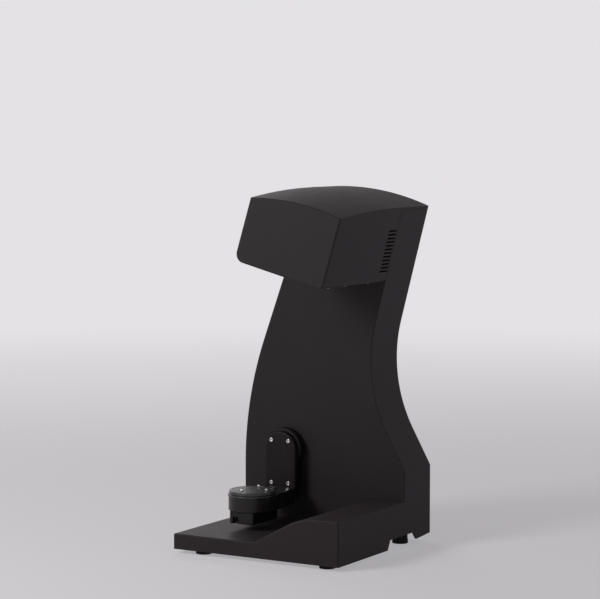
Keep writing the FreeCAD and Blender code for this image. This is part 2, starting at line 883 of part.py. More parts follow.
# ---------------------------------------------------------------- column pieces
def column_boss_spots():
    """(x, z) of the long bosses that tie the shell to the spine."""
    high = waist_height - high_boss_drop
    return [
        (-half_width + low_boss_inset, deck_height + low_boss_inset),
        (half_width - low_boss_inset, ridge_height + low_boss_rise),
        (-half_width + high_boss_inset, high),
        (half_width - waist_inset - low_boss_inset / 2, high),
    ]


def panel_boss_spots():
    """(x, z) of the short bosses that take the rear panel's screws."""
    inset = column_wall + boss_radius + panel_boss_gap
    low = ridge_height + panel_boss_rise
    high = head_height - panel_boss_drop
    return [
        (-half_width + inset, low), (half_width - inset, low),
        (-half_width + inset + panel_boss_waist_left, waist_height),
        (half_width - waist_inset + panel_boss_waist_right - inset, waist_height),
        (left_flank(high) + inset + panel_boss_gap, high), (right_flank(high) - inset - panel_boss_gap, high),
    ]


def webs_to_wall(spots, y0, y1):
    """A level rib from each boss out through the column's side wall."""
    inside = column_prism(y0, y1, column_wall / 2)
    ribs = []
    for x, z in spots:
        out = math.copysign(6 * boss_radius, x - swing_axis_x / 2)
        ribs.append(box(min(x, x + out), max(x, x + out), y0, y1, z - web_half, z + web_half).common(inside))
    return ribs


def column_shell():
    """Front and side walls of the column in one moulding, open at the back and under the head's roof."""
    outer = column_prism(column_front, back, 0).cut(above_roof(head_wall + seam_gap))
    upright = [e for e in edges_at(outer, "Y", column_front)
               if e.BoundBox.ZLength > 10 * edge_round and e.BoundBox.XLength < e.BoundBox.ZLength]
    outer = outer.makeFillet(column_edge_round, upright)
    corners, radii = column_outline()
    inner = along_y(corners, radii, column_inner, back + over, column_wall)
    foot_cut = box(-half_width + column_wall, half_width - column_wall, column_inner, back + over,
                   deck_height - over, deck_height + column_wall + over)
    short_start = panel_inner - short_boss_length
    long_bosses = [rod_y(x, z, long_boss_radius, column_inner, spine_front) for x, z in column_boss_spots()]
    short_bosses = [rod_y(x, z, boss_radius, short_start, panel_inner) for x, z in panel_boss_spots()]
    webs = webs_to_wall(panel_boss_spots(), short_start, panel_inner)
    shell = joined([cut_all(outer, [inner, foot_cut])] + long_bosses + short_bosses + webs)
    y0, y1 = column_front - over, column_inner + over
    cuts = [rod_y(x, z, thread_radius, spine_front - long_screw_grip - over, spine_front + over)
            for x, z in column_boss_spots()]
    cuts += [rod_y(x, z, thread_radius, panel_inner - case_screw_length - over, panel_inner + over)
             for x, z in panel_boss_spots()]
    cuts += [in_head(rod_y(a, c, m3_hole, y0, y1)) for a, c in head_boss_spots()]
    cuts += [rod_y(swing_axis_x, swing_axis_height, seal_radius, y0, y1), head_passage(y0, y1)]
    return cut_all(shell, cuts)


def head_passage(y0, y1):
    """Window in the column's front wall, inside the head, for the optics beam, cables and air."""
    half = beam_half + 2 * beam_round
    sill, lintel = glass_top + beam_round, beam_top + beam_rib_high + 2 * over
    return in_head(block_y(optics_a - half, optics_a + half, sill, lintel, y0, y1, floor_round))


def grille_slots(y0, y1):
    """Level slots that fill the circle of the fan."""
    count = int((fan_side - 2 * fan_wall) / grille_pitch)
    slots = []
    for k in range(count):
        dz = (k - (count - 1) / 2) * grille_pitch
        half = math.sqrt((fan_side / 2 - fan_wall) ** 2 - dz * dz)
        z = fan_z + dz - grille_slot / 2
        slots.append(block_y(fan_x - half, fan_x + half, z, z + grille_slot, y0, y1, grille_round))
    return slots


def rear_panel():
    panel = column_prism(panel_inner, back, column_wall + fit_gap)
    panel = panel.cut(above_roof(head_wall + seam_gap + fit_gap))
    y0, y1 = panel_inner - over, back + over
    spots = panel_boss_spots() + socket_screw_spots() + fan_screw_spots()
    cuts = [rod_y(x, z, m3_hole, y0, y1) for x, z in spots]
    cuts += [rod_y(x, z, m3_head_radius + head_gap, back - m3_head_height, y1) for x, z in spots]
    half = socket_plate_width / 2 - socket_window_margin
    half_high = socket_plate_high / 2 - socket_window_margin
    cuts.append(block_y(socket_plate_x - half, socket_plate_x + half, socket_z - half_high, socket_z + half_high,
                        y0, y1, socket_plate_round))
    return cut_all(panel, cuts + grille_slots(y0, y1))


# ---------------------------------------------------------------- frame inside the column
def spine_foot_centres():
    return [-half_width + foot_bracket_inset_left, half_width - foot_bracket_inset_right]


def spine_foot_holes():
    """(x, y) of the screws that hold the spine's feet to the bottom plate."""
    return [(x + s * foot_bracket_screw_half, spine_front - foot_bracket_screw_ahead)
            for x in spine_foot_centres() for s in (-1, 1)]


def spine_foot_uprights():
    """(x, z) of the screws that hold the spine to its feet."""
    return [(x + s * foot_bracket_screw_half, plate_top + foot_bracket_screw_high)
            for x in spine_foot_centres() for s in (-1, 1)]


def spine_window():
    """Opening in the spine behind the sockets, for their bodies and wires."""
    half = socket_plate_width / 2 - socket_window_margin
    x0, x1 = socket_plate_x - half, socket_plate_x + half
    low = socket_plate_bottom - over
    top = socket_z + socket_plate_high
    corners = [(x0, low), (x1, low), (x1 - socket_plate_high / 2, top), (x0, top)]
    return along_y(corners, [spine_window_round] * 4, spine_front - over, spine_back + over)


def spine():
    """Flat frame plate that carries the drive, the electronics and the optics beam."""
    corners, radii = column_outline()
    plate = along_y(corners, radii, spine_front, spine_back, column_wall + spine_edge_gap)
    plate = plate.cut(above_roof(head_wall + spine_edge_gap))
    tail = box(-half_width + spine_tail_left, half_width - spine_tail_right, spine_front, spine_back,
               plate_top + spine_tail_gap, deck_height + spine_tail_overlap)
    y0, y1 = spine_front - over, spine_back + over
    cuts = [rod_y(swing_axis_x, swing_axis_height, housing_radius + screw_gap, y0, y1),
            rod_y(swing_axis_x, swing_motor_z, swing_motor_pilot + screw_gap, y0, y1),
            rod_y(fan_x, fan_z, fan_side / 2 - spine_fan_margin, y0, y1), spine_window()]
    m3_spots = swing_motor_spots() + column_boss_spots() + board_hole_spots()
    cuts += [rod_y(x, z, m3_hole, y0, y1) for x, z in m3_spots]
    cuts += [rod_y(x, z, m4_hole, y0, y1) for x, z in housing_screw_spots() + spine_foot_uprights()]
    cuts += [in_head(rod_y(a, c, m3_hole, y0, y1)) for a, c in beam_screw_spots()]
    return cut_all(joined([plate, tail]), cuts)


def spine_feet():
    """Angle brackets between the bottom plate and the spine."""
    y0 = spine_front - foot_bracket_depth
    top = plate_top + foot_bracket_high
    thickness = spine_thickness
    profile = [(y0, plate_top), (spine_front, plate_top), (spine_front, top), (spine_front - thickness, top),
               (spine_front - thickness, plate_top + thickness), (y0, plate_top + thickness)]
    feet = []
    for x in spine_foot_centres():
        holes = [rod_y(hx, hz, m4_hole, spine_front - thickness - over, spine_front + over)
                 for hx, hz in spine_foot_uprights()]
        holes += [rod_z(hx, hy, m4_hole, plate_top - over, plate_top + thickness + over)
                  for hx, hy in spine_foot_holes()]
        feet.append(cut_all(along_x(profile, x - foot_bracket_half, x + foot_bracket_half), holes))
    return feet


def frame_screws():
    """The M4 screws of the frame: spine feet to plate and spine, and the bearing housing's flange."""
    bolt = m4(frame_screw_length)
    screws = [aimed(bolt, (x, y, plate_top + spine_thickness), (0, 0, 1)) for x, y in spine_foot_holes()]
    screws += [aimed(bolt, (x, spine_front - spine_thickness, z), (0, -1, 0)) for x, z in spine_foot_uprights()]
    screws += [aimed(bolt, (x, spine_front - housing_flange_thickness, z), (0, -1, 0))
               for x, z in housing_screw_spots()]
    return screws


def long_spine_screws():
    """Through the spine into the column shell's long bosses."""
    bolt = m3(spine_thickness + long_screw_grip)
    return [aimed(bolt, (x, spine_back, z), (0, 1, 0)) for x, z in column_boss_spots()]


def short_spine_screws():
    """Through the spine into the swing motor and into the optics beam's flange."""
    bolt = m3(spine_thickness + beam_thickness - short_screw_tip)
    screws = [aimed(bolt, (x, spine_back, z), (0, 1, 0)) for x, z in swing_motor_spots()]
    screws += [in_head(aimed(bolt, (a, spine_back, c), (0, 1, 0))) for a, c in beam_screw_spots()]
    return screws


# ---------------------------------------------------------------- head pieces
def head_boss_spots():
    """(a, c) in the head's frame of the bosses at the back of the head."""
    inset = head_wall + boss_radius + head_boss_gap
    high = roof_height - roof_drop - inset
    return [(-inset, inset), (-head_width + inset + head_boss_gap, inset + head_boss_gap), (-inset, high),
            (-head_width + inset, high - head_boss_drop)]


def head_bosses():
    """Bosses for the screws from the column, each on a web to the nearest side wall."""
    y0 = head_back - head_boss_length
    made = []
    for a, c in head_boss_spots():
        wall_a = -head_wall / 2 if a > -head_width / 2 else -head_width + head_wall / 2
        web = box(min(a, wall_a), max(a, wall_a), y0, head_back, c - web_half, c + web_half)
        made += [rod_y(a, c, boss_radius, y0, head_back), web]
    return [in_head(shape) for shape in made]


def vent_slots():
    """Slots through both side walls of the head, just ahead of the column."""
    slots = []
    y1 = column_front - vent_margin
    for k in range(vent_count):
        c = vent_first + k * vent_pitch
        corners = rectangle(y1 - vent_length, y1, c - vent_width / 2, c + vent_width / 2)
        for a in (-head_wall, -head_width):
            slots.append(in_head(along_x(corners, a - over, a + head_wall + over)))
    return slots


def bottom_panel_spots():
    """(a, y) of the screws that hold the head's floor panel to the shell."""
    a_left = optics_a - clamp_half - screw_strip / 2
    a_right = -head_round_right - floor_ledge_right / 2
    ledge = floor_front_ledge + window_along / 5
    return [(a, y) for a in (a_left, a_right) for y in (head_front + ledge, turntable_y, head_back - ledge)]


def head_shell():
    """Front, sides, floor ledge and roof of the head; the roof runs back over the column."""
    corners, radii = head_outline()
    start = head_front - 2 * head_wall
    block = cut_all(in_head(along_y(corners, radii, start, head_back)), [above_roof(0), ahead_of_face(0)])
    rise = roof_height * math.tan(math.radians(head_front_lean))
    front_edges = [e for e in block.Edges if e.BoundBox.YMax < head_front + rise + over]
    block = block.makeFillet(head_edge_round, front_edges)
    hollow = in_head(along_y(corners, radii, start, head_back + over, head_wall))
    block = block.cut(cut_all(hollow, [above_roof(head_wall), ahead_of_face(head_wall)]))
    cap = column_prism(head_back - seam_gap, back, 0).cut(above_roof(0)).common(above_roof(head_wall))
    shell = joined([block, cap] + head_bosses())
    opening = block_z(-head_width + head_round_left + floor_ledge_left, -head_round_right - floor_ledge_right,
                      head_front + head_wall + floor_front_ledge, head_back - floor_front_ledge,
                      -over, head_wall + over, floor_round)
    cuts = [in_head(opening)] + vent_slots()
    cuts += [in_head(rod_y(a, c, thread_radius, head_back - head_screw_grip - over, head_back + over))
             for a, c in head_boss_spots()]
    cuts += [in_head(rod_z(a, y, m3_hole, -over, head_wall + over)) for a, y in bottom_panel_spots()]
    return cut_all(shell, cuts)


def head_screws():
    """From inside the column, through its front wall into the head's bosses."""
    bolt = m3(column_wall + head_screw_grip)
    return [in_head(aimed(bolt, (a, column_inner, c), (0, 1, 0))) for a, c in head_boss_spots()]


def window_block(grow, c0, c1, radius):
    """The window's rectangle, drawn out by grow, in the head's frame."""
    return block_z(optics_a - window_across / 2 - grow, optics_a + window_across / 2 + grow,
                   turntable_y - window_along / 2 - grow, turntable_y + window_along / 2 + grow, c0, c1, radius)


def head_bottom_panel():
    """Inner floor that closes the head round the window."""
    panel = block_z(-head_width + head_round_left + fit_gap, -head_round_right - fit_gap,
                    head_front + head_wall + floor_front_gap, head_back - floor_back_gap,
                    head_wall, glass_seat, edge_round)
    holes = [rod_z(a, y, thread_radius, head_wall - over, glass_seat + over) for a, y in bottom_panel_spots()]
    return in_head(cut_all(panel, holes + [window_block(0, head_wall - over, glass_seat + over, window_round)]))


def window_glass():
    return in_head(window_block(glass_lap, glass_seat, glass_top, window_round))


def window_frame():
    """Black clamp frame over the glass's edge."""
    top = glass_top + clamp_height
    ring = window_block(glass_lap + clamp_width, glass_seat, top, window_round + clamp_width)
    return in_head(cut_all(ring, [window_block(glass_lap + glass_gap, glass_seat - over, glass_top, window_round),
                                  window_block(-clamp_lip, glass_seat - over, top + over, window_round)]))


# ---------------------------------------------------------------- optics
def beam_screw_spots():
    """(a, c) of the screws through the spine into the beam's flange."""
    return [(optics_a + s * (beam_half - beam_screw_inset), beam_top + c)
            for s in (-1, 1) for c in (beam_screw_low, beam_screw_high)]


def optics_screw_spots():
    """(a, y) of the screws down through the beam into the projector and the two cameras."""
    offsets = all_signs(projector_screw_across, projector_screw_along) + all_signs(camera_screw_half, camera_spread)
    return [(optics_a + da, turntable_y + dy) for da, dy in offsets]


def optics_beam():
    """T-beam from the spine, through the column's front wall, over the projector and cameras."""
    y0 = turntable_y - camera_spread - camera_side / 2 - beam_end_gap
    flange_front = spine_front - beam_thickness
    sheet = block_z(optics_a - beam_half, optics_a + beam_half, y0, spine_front, beam_height, beam_top, beam_round)
    flange = box(optics_a - beam_half, optics_a + beam_half, flange_front, spine_front,
                 beam_height, beam_top + beam_flange_high)
    rib = box(optics_a - beam_rib_half, optics_a + beam_rib_half, y0 + beam_rib_setback, spine_front,
              beam_height, beam_top + beam_rib_high)
    beam = joined([in_head(sheet), in_head(flange), in_head(rib), camera_wedge(-1), camera_wedge(1)])
    cuts = [in_head(rod_y(a, c, thread_radius, flange_front - over, spine_front + over))
            for a, c in beam_screw_spots()]
    cuts += [in_head(rod_z(a, y, m3_hole, beam_height - 2 * camera_pad, beam_top + over))
             for a, y in optics_screw_spots()]
    return cut_all(beam, cuts)


def optics_screws():
    bolt = m3(beam_thickness + optics_screw_grip)
    return [in_head(aimed(bolt, (a, y, beam_top), (0, 0, 1))) for a, y in optics_screw_spots()]


def tapped(shape):
    """Holes in the projector and cameras for the screws through the beam."""
    bottom = beam_height - optics_screw_grip - over
    return cut_all(shape, [in_head(rod_z(a, y, thread_radius, bottom, beam_height + over))
                           for a, y in optics_screw_spots()])


def projector_housing():
    half_a, half_y = projector_across / 2, projector_along / 2
    return tapped(in_head(block_z(optics_a - half_a, optics_a + half_a, turntable_y - half_y, turntable_y + half_y,
                                  beam_height - projector_body, beam_height, projector_round)))


def lens_barrel(radius, length):
    """Barrel along -Z from the origin with a grip ring and a flared mouth."""
    ring = Part.makeCylinder(radius + lens_ring, length * 0.3, V(0, 0, -length * 0.8))
    mouth = Part.makeCone(radius * lens_throat, radius - lens_rim, lens_mouth,
                          V(0, 0, lens_mouth - length), V(0, 0, -1))
    return joined([Part.makeCylinder(radius, length, V(0, 0, -length)), ring]).cut(mouth)


def lens_glass(radius, length):
    """Domed front lens at the bottom of the barrel's mouth."""
    pane = radius * lens_pane
    ball = pane * 1.8
    edge = 0.1 * lens_mouth
    sag = ball - math.sqrt(ball * ball - pane * pane)
    dome = Part.makeSphere(ball, V(0, 0, lens_mouth - length + ball - sag - edge))
    return dome.common(Part.makeCylinder(pane, sag + edge, V(0, 0, lens_mouth - length - sag - edge)))


def at_projector(shape):
    placed = shape.copy()
    placed.translate(V(optics_a, turntable_y, beam_height - projector_body))
    return in_head(placed)


def at_camera(shape, side):
    """Move a shape built below the origin to a camera's seat under the beam, toed in."""
    placed = shape.copy()
    placed.rotate(V(0, 0, 0), V(1, 0, 0), -side * camera_toe_in)
    placed.translate(V(optics_a, turntable_y + side * camera_spread, beam_height - camera_pad))
    return in_head(placed)


def camera_body(side):
    half = camera_side / 2
    return tapped(at_camera(block_z(-half, half, -half, half, -camera_length, 0, camera_round), side))


def camera_wedge(side):
    """Wedge under the beam that sets a camera's toe-in."""
    half = camera_side / 2 - camera_pad_step
    y = turntable_y + side * camera_spread
    block = box(optics_a - half, optics_a + half, y - half, y + half, beam_height - 3 * camera_pad, beam_height)
    under = box(-camera_side, camera_side, -camera_side, camera_side, -camera_length, 0)
    return in_head(block).cut(at_camera(under, side))


def camera_lens(side):
    barrel = lens_barrel(camera_lens_radius, camera_lens_length)
    barrel.translate(V(0, 0, -camera_length))
    return at_camera(barrel, side)


def camera_lens_glass(side):
    glass = lens_glass(camera_lens_radius, camera_lens_length)
    glass.translate(V(0, 0, -camera_length))
    return at_camera(glass, side)


# ---------------------------------------------------------------- swing drive, inside the column
def housing_screw_spots():
    reach = (housing_radius + housing_flange_radius) / 2 * math.cos(math.radians(45))
    return [(swing_axis_x + dx, swing_axis_height + dz) for dx, dz in all_signs(reach, reach)]


def swing_motor_spots():
    half = swing_motor_pitch_half
    return [(swing_axis_x + dx, swing_motor_z + dz) for dx, dz in all_signs(half, half)]


def swing_rod(radius, y0, y1):
    return rod_y(swing_axis_x, swing_axis_height, radius, y0, y1)


def motor_rod(radius, y0, y1):
    return rod_y(swing_axis_x, swing_motor_z, radius, y0, y1)


def bearing_spans():
    """y of the front and rear swing bearings."""
    y0 = housing_front + bearing_sink
    y1 = housing_back - bearing_sink
    return [(y0, y0 + bearing_width), (y1 - bearing_width, y1)]


def bearing_housing():
    """Flanged tube through the spine with a bearing seat at each end."""
    flange_front = spine_front - housing_flange_thickness
    housing = joined([swing_rod(housing_radius, housing_front, housing_back),
                      swing_rod(housing_flange_radius, flange_front, spine_front)])
    front_span, back_span = bearing_spans()
    cuts = [swing_rod(shaft_radius + housing_bore_gap, housing_front - over, housing_back + over),
            swing_rod(bearing_radius, housing_front - over, front_span[1]),
            swing_rod(bearing_radius, back_span[0], housing_back + over)]
    cuts += [rod_y(x, z, m4_hole, flange_front - over, spine_front + over) for x, z in housing_screw_spots()]
    return cut_all(housing, cuts)


def swing_bearings():
    return [swing_rod(bearing_radius, y0, y1).cut(swing_rod(shaft_radius + running_gap, y0 - over, y1 + over))
            for y0, y1 in bearing_spans()]


def shaft_seal():
    """Felt ring in the column's front wall round the swing shaft."""
    y0 = column_front + seal_gap
    return swing_rod(seal_radius, y0, column_inner).cut(
        swing_rod(shaft_radius + seal_gap, y0 - over, column_inner + over))


def swing_motor():
    """Square stepper on the spine: two end caps round a slimmer stack."""
    half = swing_motor_side / 2
    corners = rectangle(swing_axis_x - half, swing_axis_x + half, swing_motor_z - half, swing_motor_z + half)
    radii = [swing_motor_round] * 4
    y0 = spine_front - swing_motor_length
    front_cap = along_y(corners, radii, y0, y0 + swing_motor_cap)
    back_cap = along_y(corners, radii, spine_front - swing_motor_cap, spine_front)
    stack = along_y(corners, radii, y0 + swing_motor_cap, spine_front - swing_motor_cap, swing_motor_step)
    pilot = motor_rod(swing_motor_pilot, spine_front - over, spine_front + spine_thickness / 2)
    bore = motor_rod(swing_motor_shaft + bush_wall, y0 + swing_motor_floor, spine_back)
    holes = [rod_y(x, z, thread_radius, spine_front - bush_length, spine_front + over)
             for x, z in swing_motor_spots()]
    return cut_all(joined([front_cap, stack, back_cap, pilot]), [bore] + holes)


def swing_motor_bush():
    """Front bearing of the motor, between its case and its shaft."""
    y1 = spine_front - over
    return motor_rod(swing_motor_shaft + bush_wall, y1 - bush_length, y1).cut(
        motor_rod(swing_motor_shaft + running_gap, y1 - bush_length - over, spine_front))


def swing_motor_rotor():
    """Motor shaft, flatted where its pulley sits."""
    y0 = spine_front - swing_motor_length + swing_motor_floor + fan_rotor_gap
    y1 = belt_y + pulley_width / 2 + shaft_tail
    flat_z = swing_motor_z + swing_motor_shaft - shaft_flat
    flat = box(swing_axis_x - swing_motor_shaft, swing_axis_x + swing_motor_shaft, belt_y, y1 + over,
               flat_z, flat_z + swing_motor_shaft)
    return motor_rod(swing_motor_shaft, y0, y1).cut(flat)


def on_belt_plane(pulley, z):
    """Turn a pulley onto the Y axis and set it in the swing belt's plane."""
    return aimed(pulley, (swing_axis_x, belt_y, z), (0, 1, 0))


def swing_motor_pulley():
    pulley = timing_pulley(swing_pinion_radius, pulley_width, swing_motor_shaft, swing_pinion_teeth)
    return on_belt_plane(pulley, swing_motor_z)


def swing_pulley():
    pulley = timing_pulley(swing_pulley_radius, pulley_width, shaft_radius, swing_pulley_teeth)
    windows = []
    for k in range(pulley_window_count):
        angle = 2 * math.pi * k / pulley_window_count
        windows.append(rod_z(pulley_window_circle * math.cos(angle), pulley_window_circle * math.sin(angle),
                             pulley_window_radius, -pulley_width, pulley_width))
    return on_belt_plane(cut_all(pulley, windows), swing_axis_height)


def swing_belt():
    y0 = belt_y - swing_belt_width / 2
    return belt_loop(swing_axis_height, swing_pulley_radius, swing_motor_z, swing_pinion_radius,
                     lambda a, b: V(swing_axis_x + a, y0, b), (swing_belt_thickness, V(0, swing_belt_width, 0)))


# ---------------------------------------------------------------- swing arm
def swing_screw_spots():
    """(x, z) of the four screws that hold the swing plate to its carrier."""
    return [(swing_axis_x + s * swing_screw_across, z) for s in (-1, 1)
            for z in (swing_axis_height + swing_screw_rise, arm_top_height + swing_screw_low)]


def swing_shaft():
    """Steel shaft from the carrier back to the swing pulley."""
    y1 = belt_y + pulley_width / 2 + shaft_tail
    shaft = swing_rod(shaft_radius, plate_back, y1)
    return shaft.makeChamfer(shaft_chamfer, edges_at(shaft, "Y", y1))


def swing_carrier():
    """Machined block on the shaft that the swing plate is screwed to."""
    bar = box(swing_axis_x - carrier_half, swing_axis_x + carrier_half, plate_back, carrier_back,
              arm_top_height - carrier_tail, swing_axis_height)
    cuts = [swing_rod(shaft_radius, plate_back - over, carrier_back + over)]
    cuts += [rod_y(x, z, thread_radius, plate_back - over, carrier_back - carrier_floor)
             for x, z in swing_screw_spots()]
    return cut_all(joined([swing_rod(carrier_radius, plate_back, carrier_back), bar]), cuts)


def swing_plate():
    """The upright with its round top, chamfered at the front."""
    x0, x1 = swing_axis_x - swing_plate_half, swing_axis_x + swing_plate_half
    middle = box(x0, x1, plate_front, plate_back, leg_height + swing_plate_round, swing_axis_height)
    lower = block_y(x0, x1, leg_height, swing_axis_height, plate_front, plate_back, swing_plate_round)
    plate = joined([lower, middle, swing_rod(swing_plate_half, plate_front, plate_back)])
    rim = [e for e in edges_at(plate, "Y", plate_front) if e.BoundBox.ZMax > swing_axis_height + over]
    return plate.makeChamfer(swing_plate_chamfer, rim)


def swing_bracket():
    """L-bracket: the round-topped swing plate and the leg inside the arm, in one piece."""
    leg = box(swing_axis_x - leg_half, swing_axis_x + leg_half, turntable_y, plate_front + over,
              leg_height, leg_top)
    nose = rod_z(swing_axis_x, turntable_y, arm_radius - arm_wall - leg_nose_gap, leg_height, leg_top)
    boss = rod_z(swing_axis_x, turntable_y, spindle_bearing_radius + spindle_boss_wall, boss_bottom, leg_top)
    z0, z1 = leg_height - over, leg_top + over
    cuts = [rod_y(x, z, m3_hole, plate_front - over, plate_back + over) for x, z in swing_screw_spots()]
    cuts += [rod_y(x, z, m3_head_radius + head_gap, plate_front - over, plate_front + swing_screw_sink)
             for x, z in swing_screw_spots()]
    cuts += [rod_z(swing_axis_x, turntable_y, spindle_bearing_radius, low, high)
             for low, high in spindle_bearing_spans()]
    cuts += [rod_z(x, y, thread_radius, z0, z1) for x, y in arm_screw_spots() + arm_motor_spots()]
    cuts += [rod_z(swing_axis_x, turntable_y, spindle_radius + spindle_boss_bore, boss_bottom - over, z1),
             rod_z(swing_axis_x, arm_motor_y, arm_motor_pilot + screw_gap, z0, z1)]
    return cut_all(joined([swing_plate(), leg, nose, boss]), cuts)


def swing_screws():
    seat = plate_front + swing_screw_sink
    bolt = m3(plate_back - seat + swing_screw_grip)
    return [aimed(bolt, (x, seat, z), (0, -1, 0)) for x, z in swing_screw_spots()]


def spindle_bearing_spans():
    """Heights of the lower and upper spindle bearings in the bracket's boss."""
    return [(boss_bottom, boss_bottom + spindle_bearing_width), (leg_top - spindle_bearing_width, leg_top)]


def spindle_bearings():
    return [rod_z(swing_axis_x, turntable_y, spindle_bearing_radius, z0, z1).cut(
        rod_z(swing_axis_x, turntable_y, spindle_radius + running_gap, z0 - over, z1 + over))
        for z0, z1 in spindle_bearing_spans()]


def arm_prism(grow, z0, z1):
    """Plan of the arm, round under the turntable and drawn in to the swing plate's width."""
    radius = arm_radius + grow
    rear_half = swing_plate_half + grow
    rear_y = plate_front - seam_gap
    run = rear_y - turntable_y
    angle = math.atan2(rear_half, run) + math.acos(min(1.0, radius / math.hypot(run, rear_half)))
    touch_x = radius * math.sin(angle)
    touch_y = turntable_y + radius * math.cos(angle)

    def point(a, b):
        return V(swing_axis_x + a, b, z0)

    wire = Part.Wire([
        Part.Arc(point(touch_x, touch_y), point(0, turntable_y - radius), point(-touch_x, touch_y)).toShape(),
        Part.LineSegment(point(-touch_x, touch_y), point(-rear_half, rear_y)).toShape(),
        Part.LineSegment(point(-rear_half, rear_y), point(rear_half, rear_y)).toShape(),
        Part.LineSegment(point(rear_half, rear_y), point(touch_x, touch_y)).toShape(),
    ])
    return Part.Face(wire).extrude(V(0, 0, z1 - z0))


def lower_cover_box(grow, z0, z1):
    return block_z(swing_axis_x - lower_cover_half - grow, swing_axis_x + lower_cover_half + grow,
                   lower_cover_front - grow, lower_cover_front + lower_cover_length + grow,
                   z0, z1, lower_cover_round + grow)


def arm_screw_spots():
    """(x, y) of the screws that hold the lower cover up against the bracket's leg."""
    half = lower_cover_half - arm_post_inset_x
    y_near = lower_cover_front + arm_post_inset_front
    y_far = lower_cover_front + lower_cover_length - arm_post_inset_back
    return [(swing_axis_x + s * half, y) for s in (-1, 1) for y in (y_near, y_far)]


def housing_pads():
    """Pads on the arm housing's floor, two beside the turntable and one near the swing plate."""
    z0, z1 = arm_floor_height + arm_floor_thickness - over, leg_height
    inner = lower_cover_half
    rear_y = plate_front - pad_back - pad_length
    pads = [box(swing_axis_x - inner, swing_axis_x + inner, rear_y, rear_y + pad_length, z0, z1)]
    for x in (swing_axis_x - inner - pad_reach, swing_axis_x + inner):
        pads.append(box(x, x + pad_reach, turntable_y - pad_length / 2, turntable_y + pad_length / 2, z0, z1))
    return pads


def arm_housing():
    """Side wall and floor of the arm, open above and over the motor."""
    top = arm_top_height - arm_top_thickness
    shell = arm_prism(0, arm_floor_height, top)
    lower = [e for e in edges_at(shell, "Z", arm_floor_height) if e.BoundBox.YMin < plate_front - 2 * over]
    shell = shell.makeFillet(arm_edge_round, lower)
    floor_top = arm_floor_height + arm_floor_thickness
    inside = arm_prism(-arm_wall, floor_top, top + over)
    room = lower_cover_box(-lower_cover_wall, arm_floor_height - over, floor_top + over)
    gate = box(swing_axis_x - leg_half - leg_gap, swing_axis_x + leg_half + leg_gap, plate_front - 2 * arm_wall,
               plate_front + over, leg_height - leg_gap, leg_top + leg_gap)
    return joined([cut_all(shell, [inside, room, gate])] + housing_pads())


def arm_top_plate():
    z0 = arm_top_height - arm_top_thickness
    z1 = arm_top_height + over
    holes = [rod_z(swing_axis_x, turntable_y, disc_hub_radius + disc_hub_gap, z0 - over, z1),
             rod_z(swing_axis_x, plate_front - cap_from_plate, cap_radius - cap_step, z0 - over, z1)]
    return cut_all(arm_prism(arm_lip, z0, arm_top_height), holes)


def access_cap():
    """Round cap over the belt's tension screw."""
    y = plate_front - cap_from_plate
    top = arm_top_height + cap_height
    lid = rod_z(swing_axis_x, y, cap_radius, arm_top_height, top)
    lid = lid.makeChamfer(cap_chamfer, edges_at(lid, "Z", top))
    plug = rod_z(swing_axis_x, y, cap_radius - cap_step - screw_gap,
                 arm_top_height - arm_top_thickness, arm_top_height)
    return joined([lid, plug])


def arm_lower_cover():
    """Tub under the arm that covers the turntable's motor."""
    outer = lower_cover_box(0, lower_cover_height, arm_floor_height)
    outer = outer.makeFillet(arm_edge_round, edges_at(outer, "Z", lower_cover_height))
    floor = lower_cover_height + lower_cover_wall
    inner = lower_cover_box(-lower_cover_wall, floor, arm_floor_height + over)
    posts = [rod_z(x, y, arm_post_radius, floor - over, leg_height) for x, y in arm_screw_spots()]
    feet = [rod_z(x, y, arm_post_foot_radius, floor - over, floor + arm_post_foot_height).common(outer)
            for x, y in arm_screw_spots()]
    centre = swing_axis_x - notch_offset
    notch = box(centre - notch_width / 2, centre + notch_width / 2, lower_cover_front - over,
                lower_cover_front + notch_depth, lower_cover_height - over, lower_cover_height + notch_height)
    z0 = lower_cover_height - over
    cuts = [notch]
    cuts += [rod_z(x, y, m3_hole, z0, leg_height + over) for x, y in arm_screw_spots()]
    cuts += [rod_z(x, y, m3_head_radius + head_gap, z0, lower_cover_height + m3_head_height)
             for x, y in arm_screw_spots()]
    return cut_all(joined([outer.cut(inner)] + posts + feet), cuts)


def arm_screws():
    seat = lower_cover_height + m3_head_height
    bolt = m3(leg_height + arm_screw_grip - seat)
    return [aimed(bolt, (x, y, seat), (0, 0, -1)) for x, y in arm_screw_spots()]


# ---------------------------------------------------------------- turntable and its drive
def arm_motor_spots():
    return [(swing_axis_x + s * arm_motor_ear, arm_motor_y) for s in (-1, 1)]


def arm_motor_screws():
    seat = leg_height - arm_motor_ear_thickness
    return [aimed(m3(motor_screw_length), (x, y, seat), (0, 0, -1)) for x, y in arm_motor_spots()]


def turntable_motor():
    """Round stepper hung under the leg by two ears."""
    z0 = lower_cover_height + lower_cover_wall + arm_motor_gap
    ear_z = leg_height - arm_motor_ear_thickness
    can = rod_z(swing_axis_x, arm_motor_y, arm_motor_radius, z0, leg_height)
    ears = box(swing_axis_x - arm_motor_ear, swing_axis_x + arm_motor_ear, arm_motor_y - arm_motor_ear_half,
               arm_motor_y + arm_motor_ear_half, ear_z, leg_height)
    tips = [rod_z(x, y, arm_motor_ear_half, ear_z, leg_height) for x, y in arm_motor_spots()]
    pilot = rod_z(swing_axis_x, arm_motor_y, arm_motor_pilot, ear_z, leg_height + motor_pilot_height)
    cuts = [rod_z(x, y, m3_hole, ear_z - over, leg_height + over) for x, y in arm_motor_spots()]
    cuts.append(rod_z(swing_axis_x, arm_motor_y, arm_motor_shaft + running_gap, z0 + arm_motor_floor, leg_top))
    return cut_all(joined([can, ears, pilot] + tips), cuts)


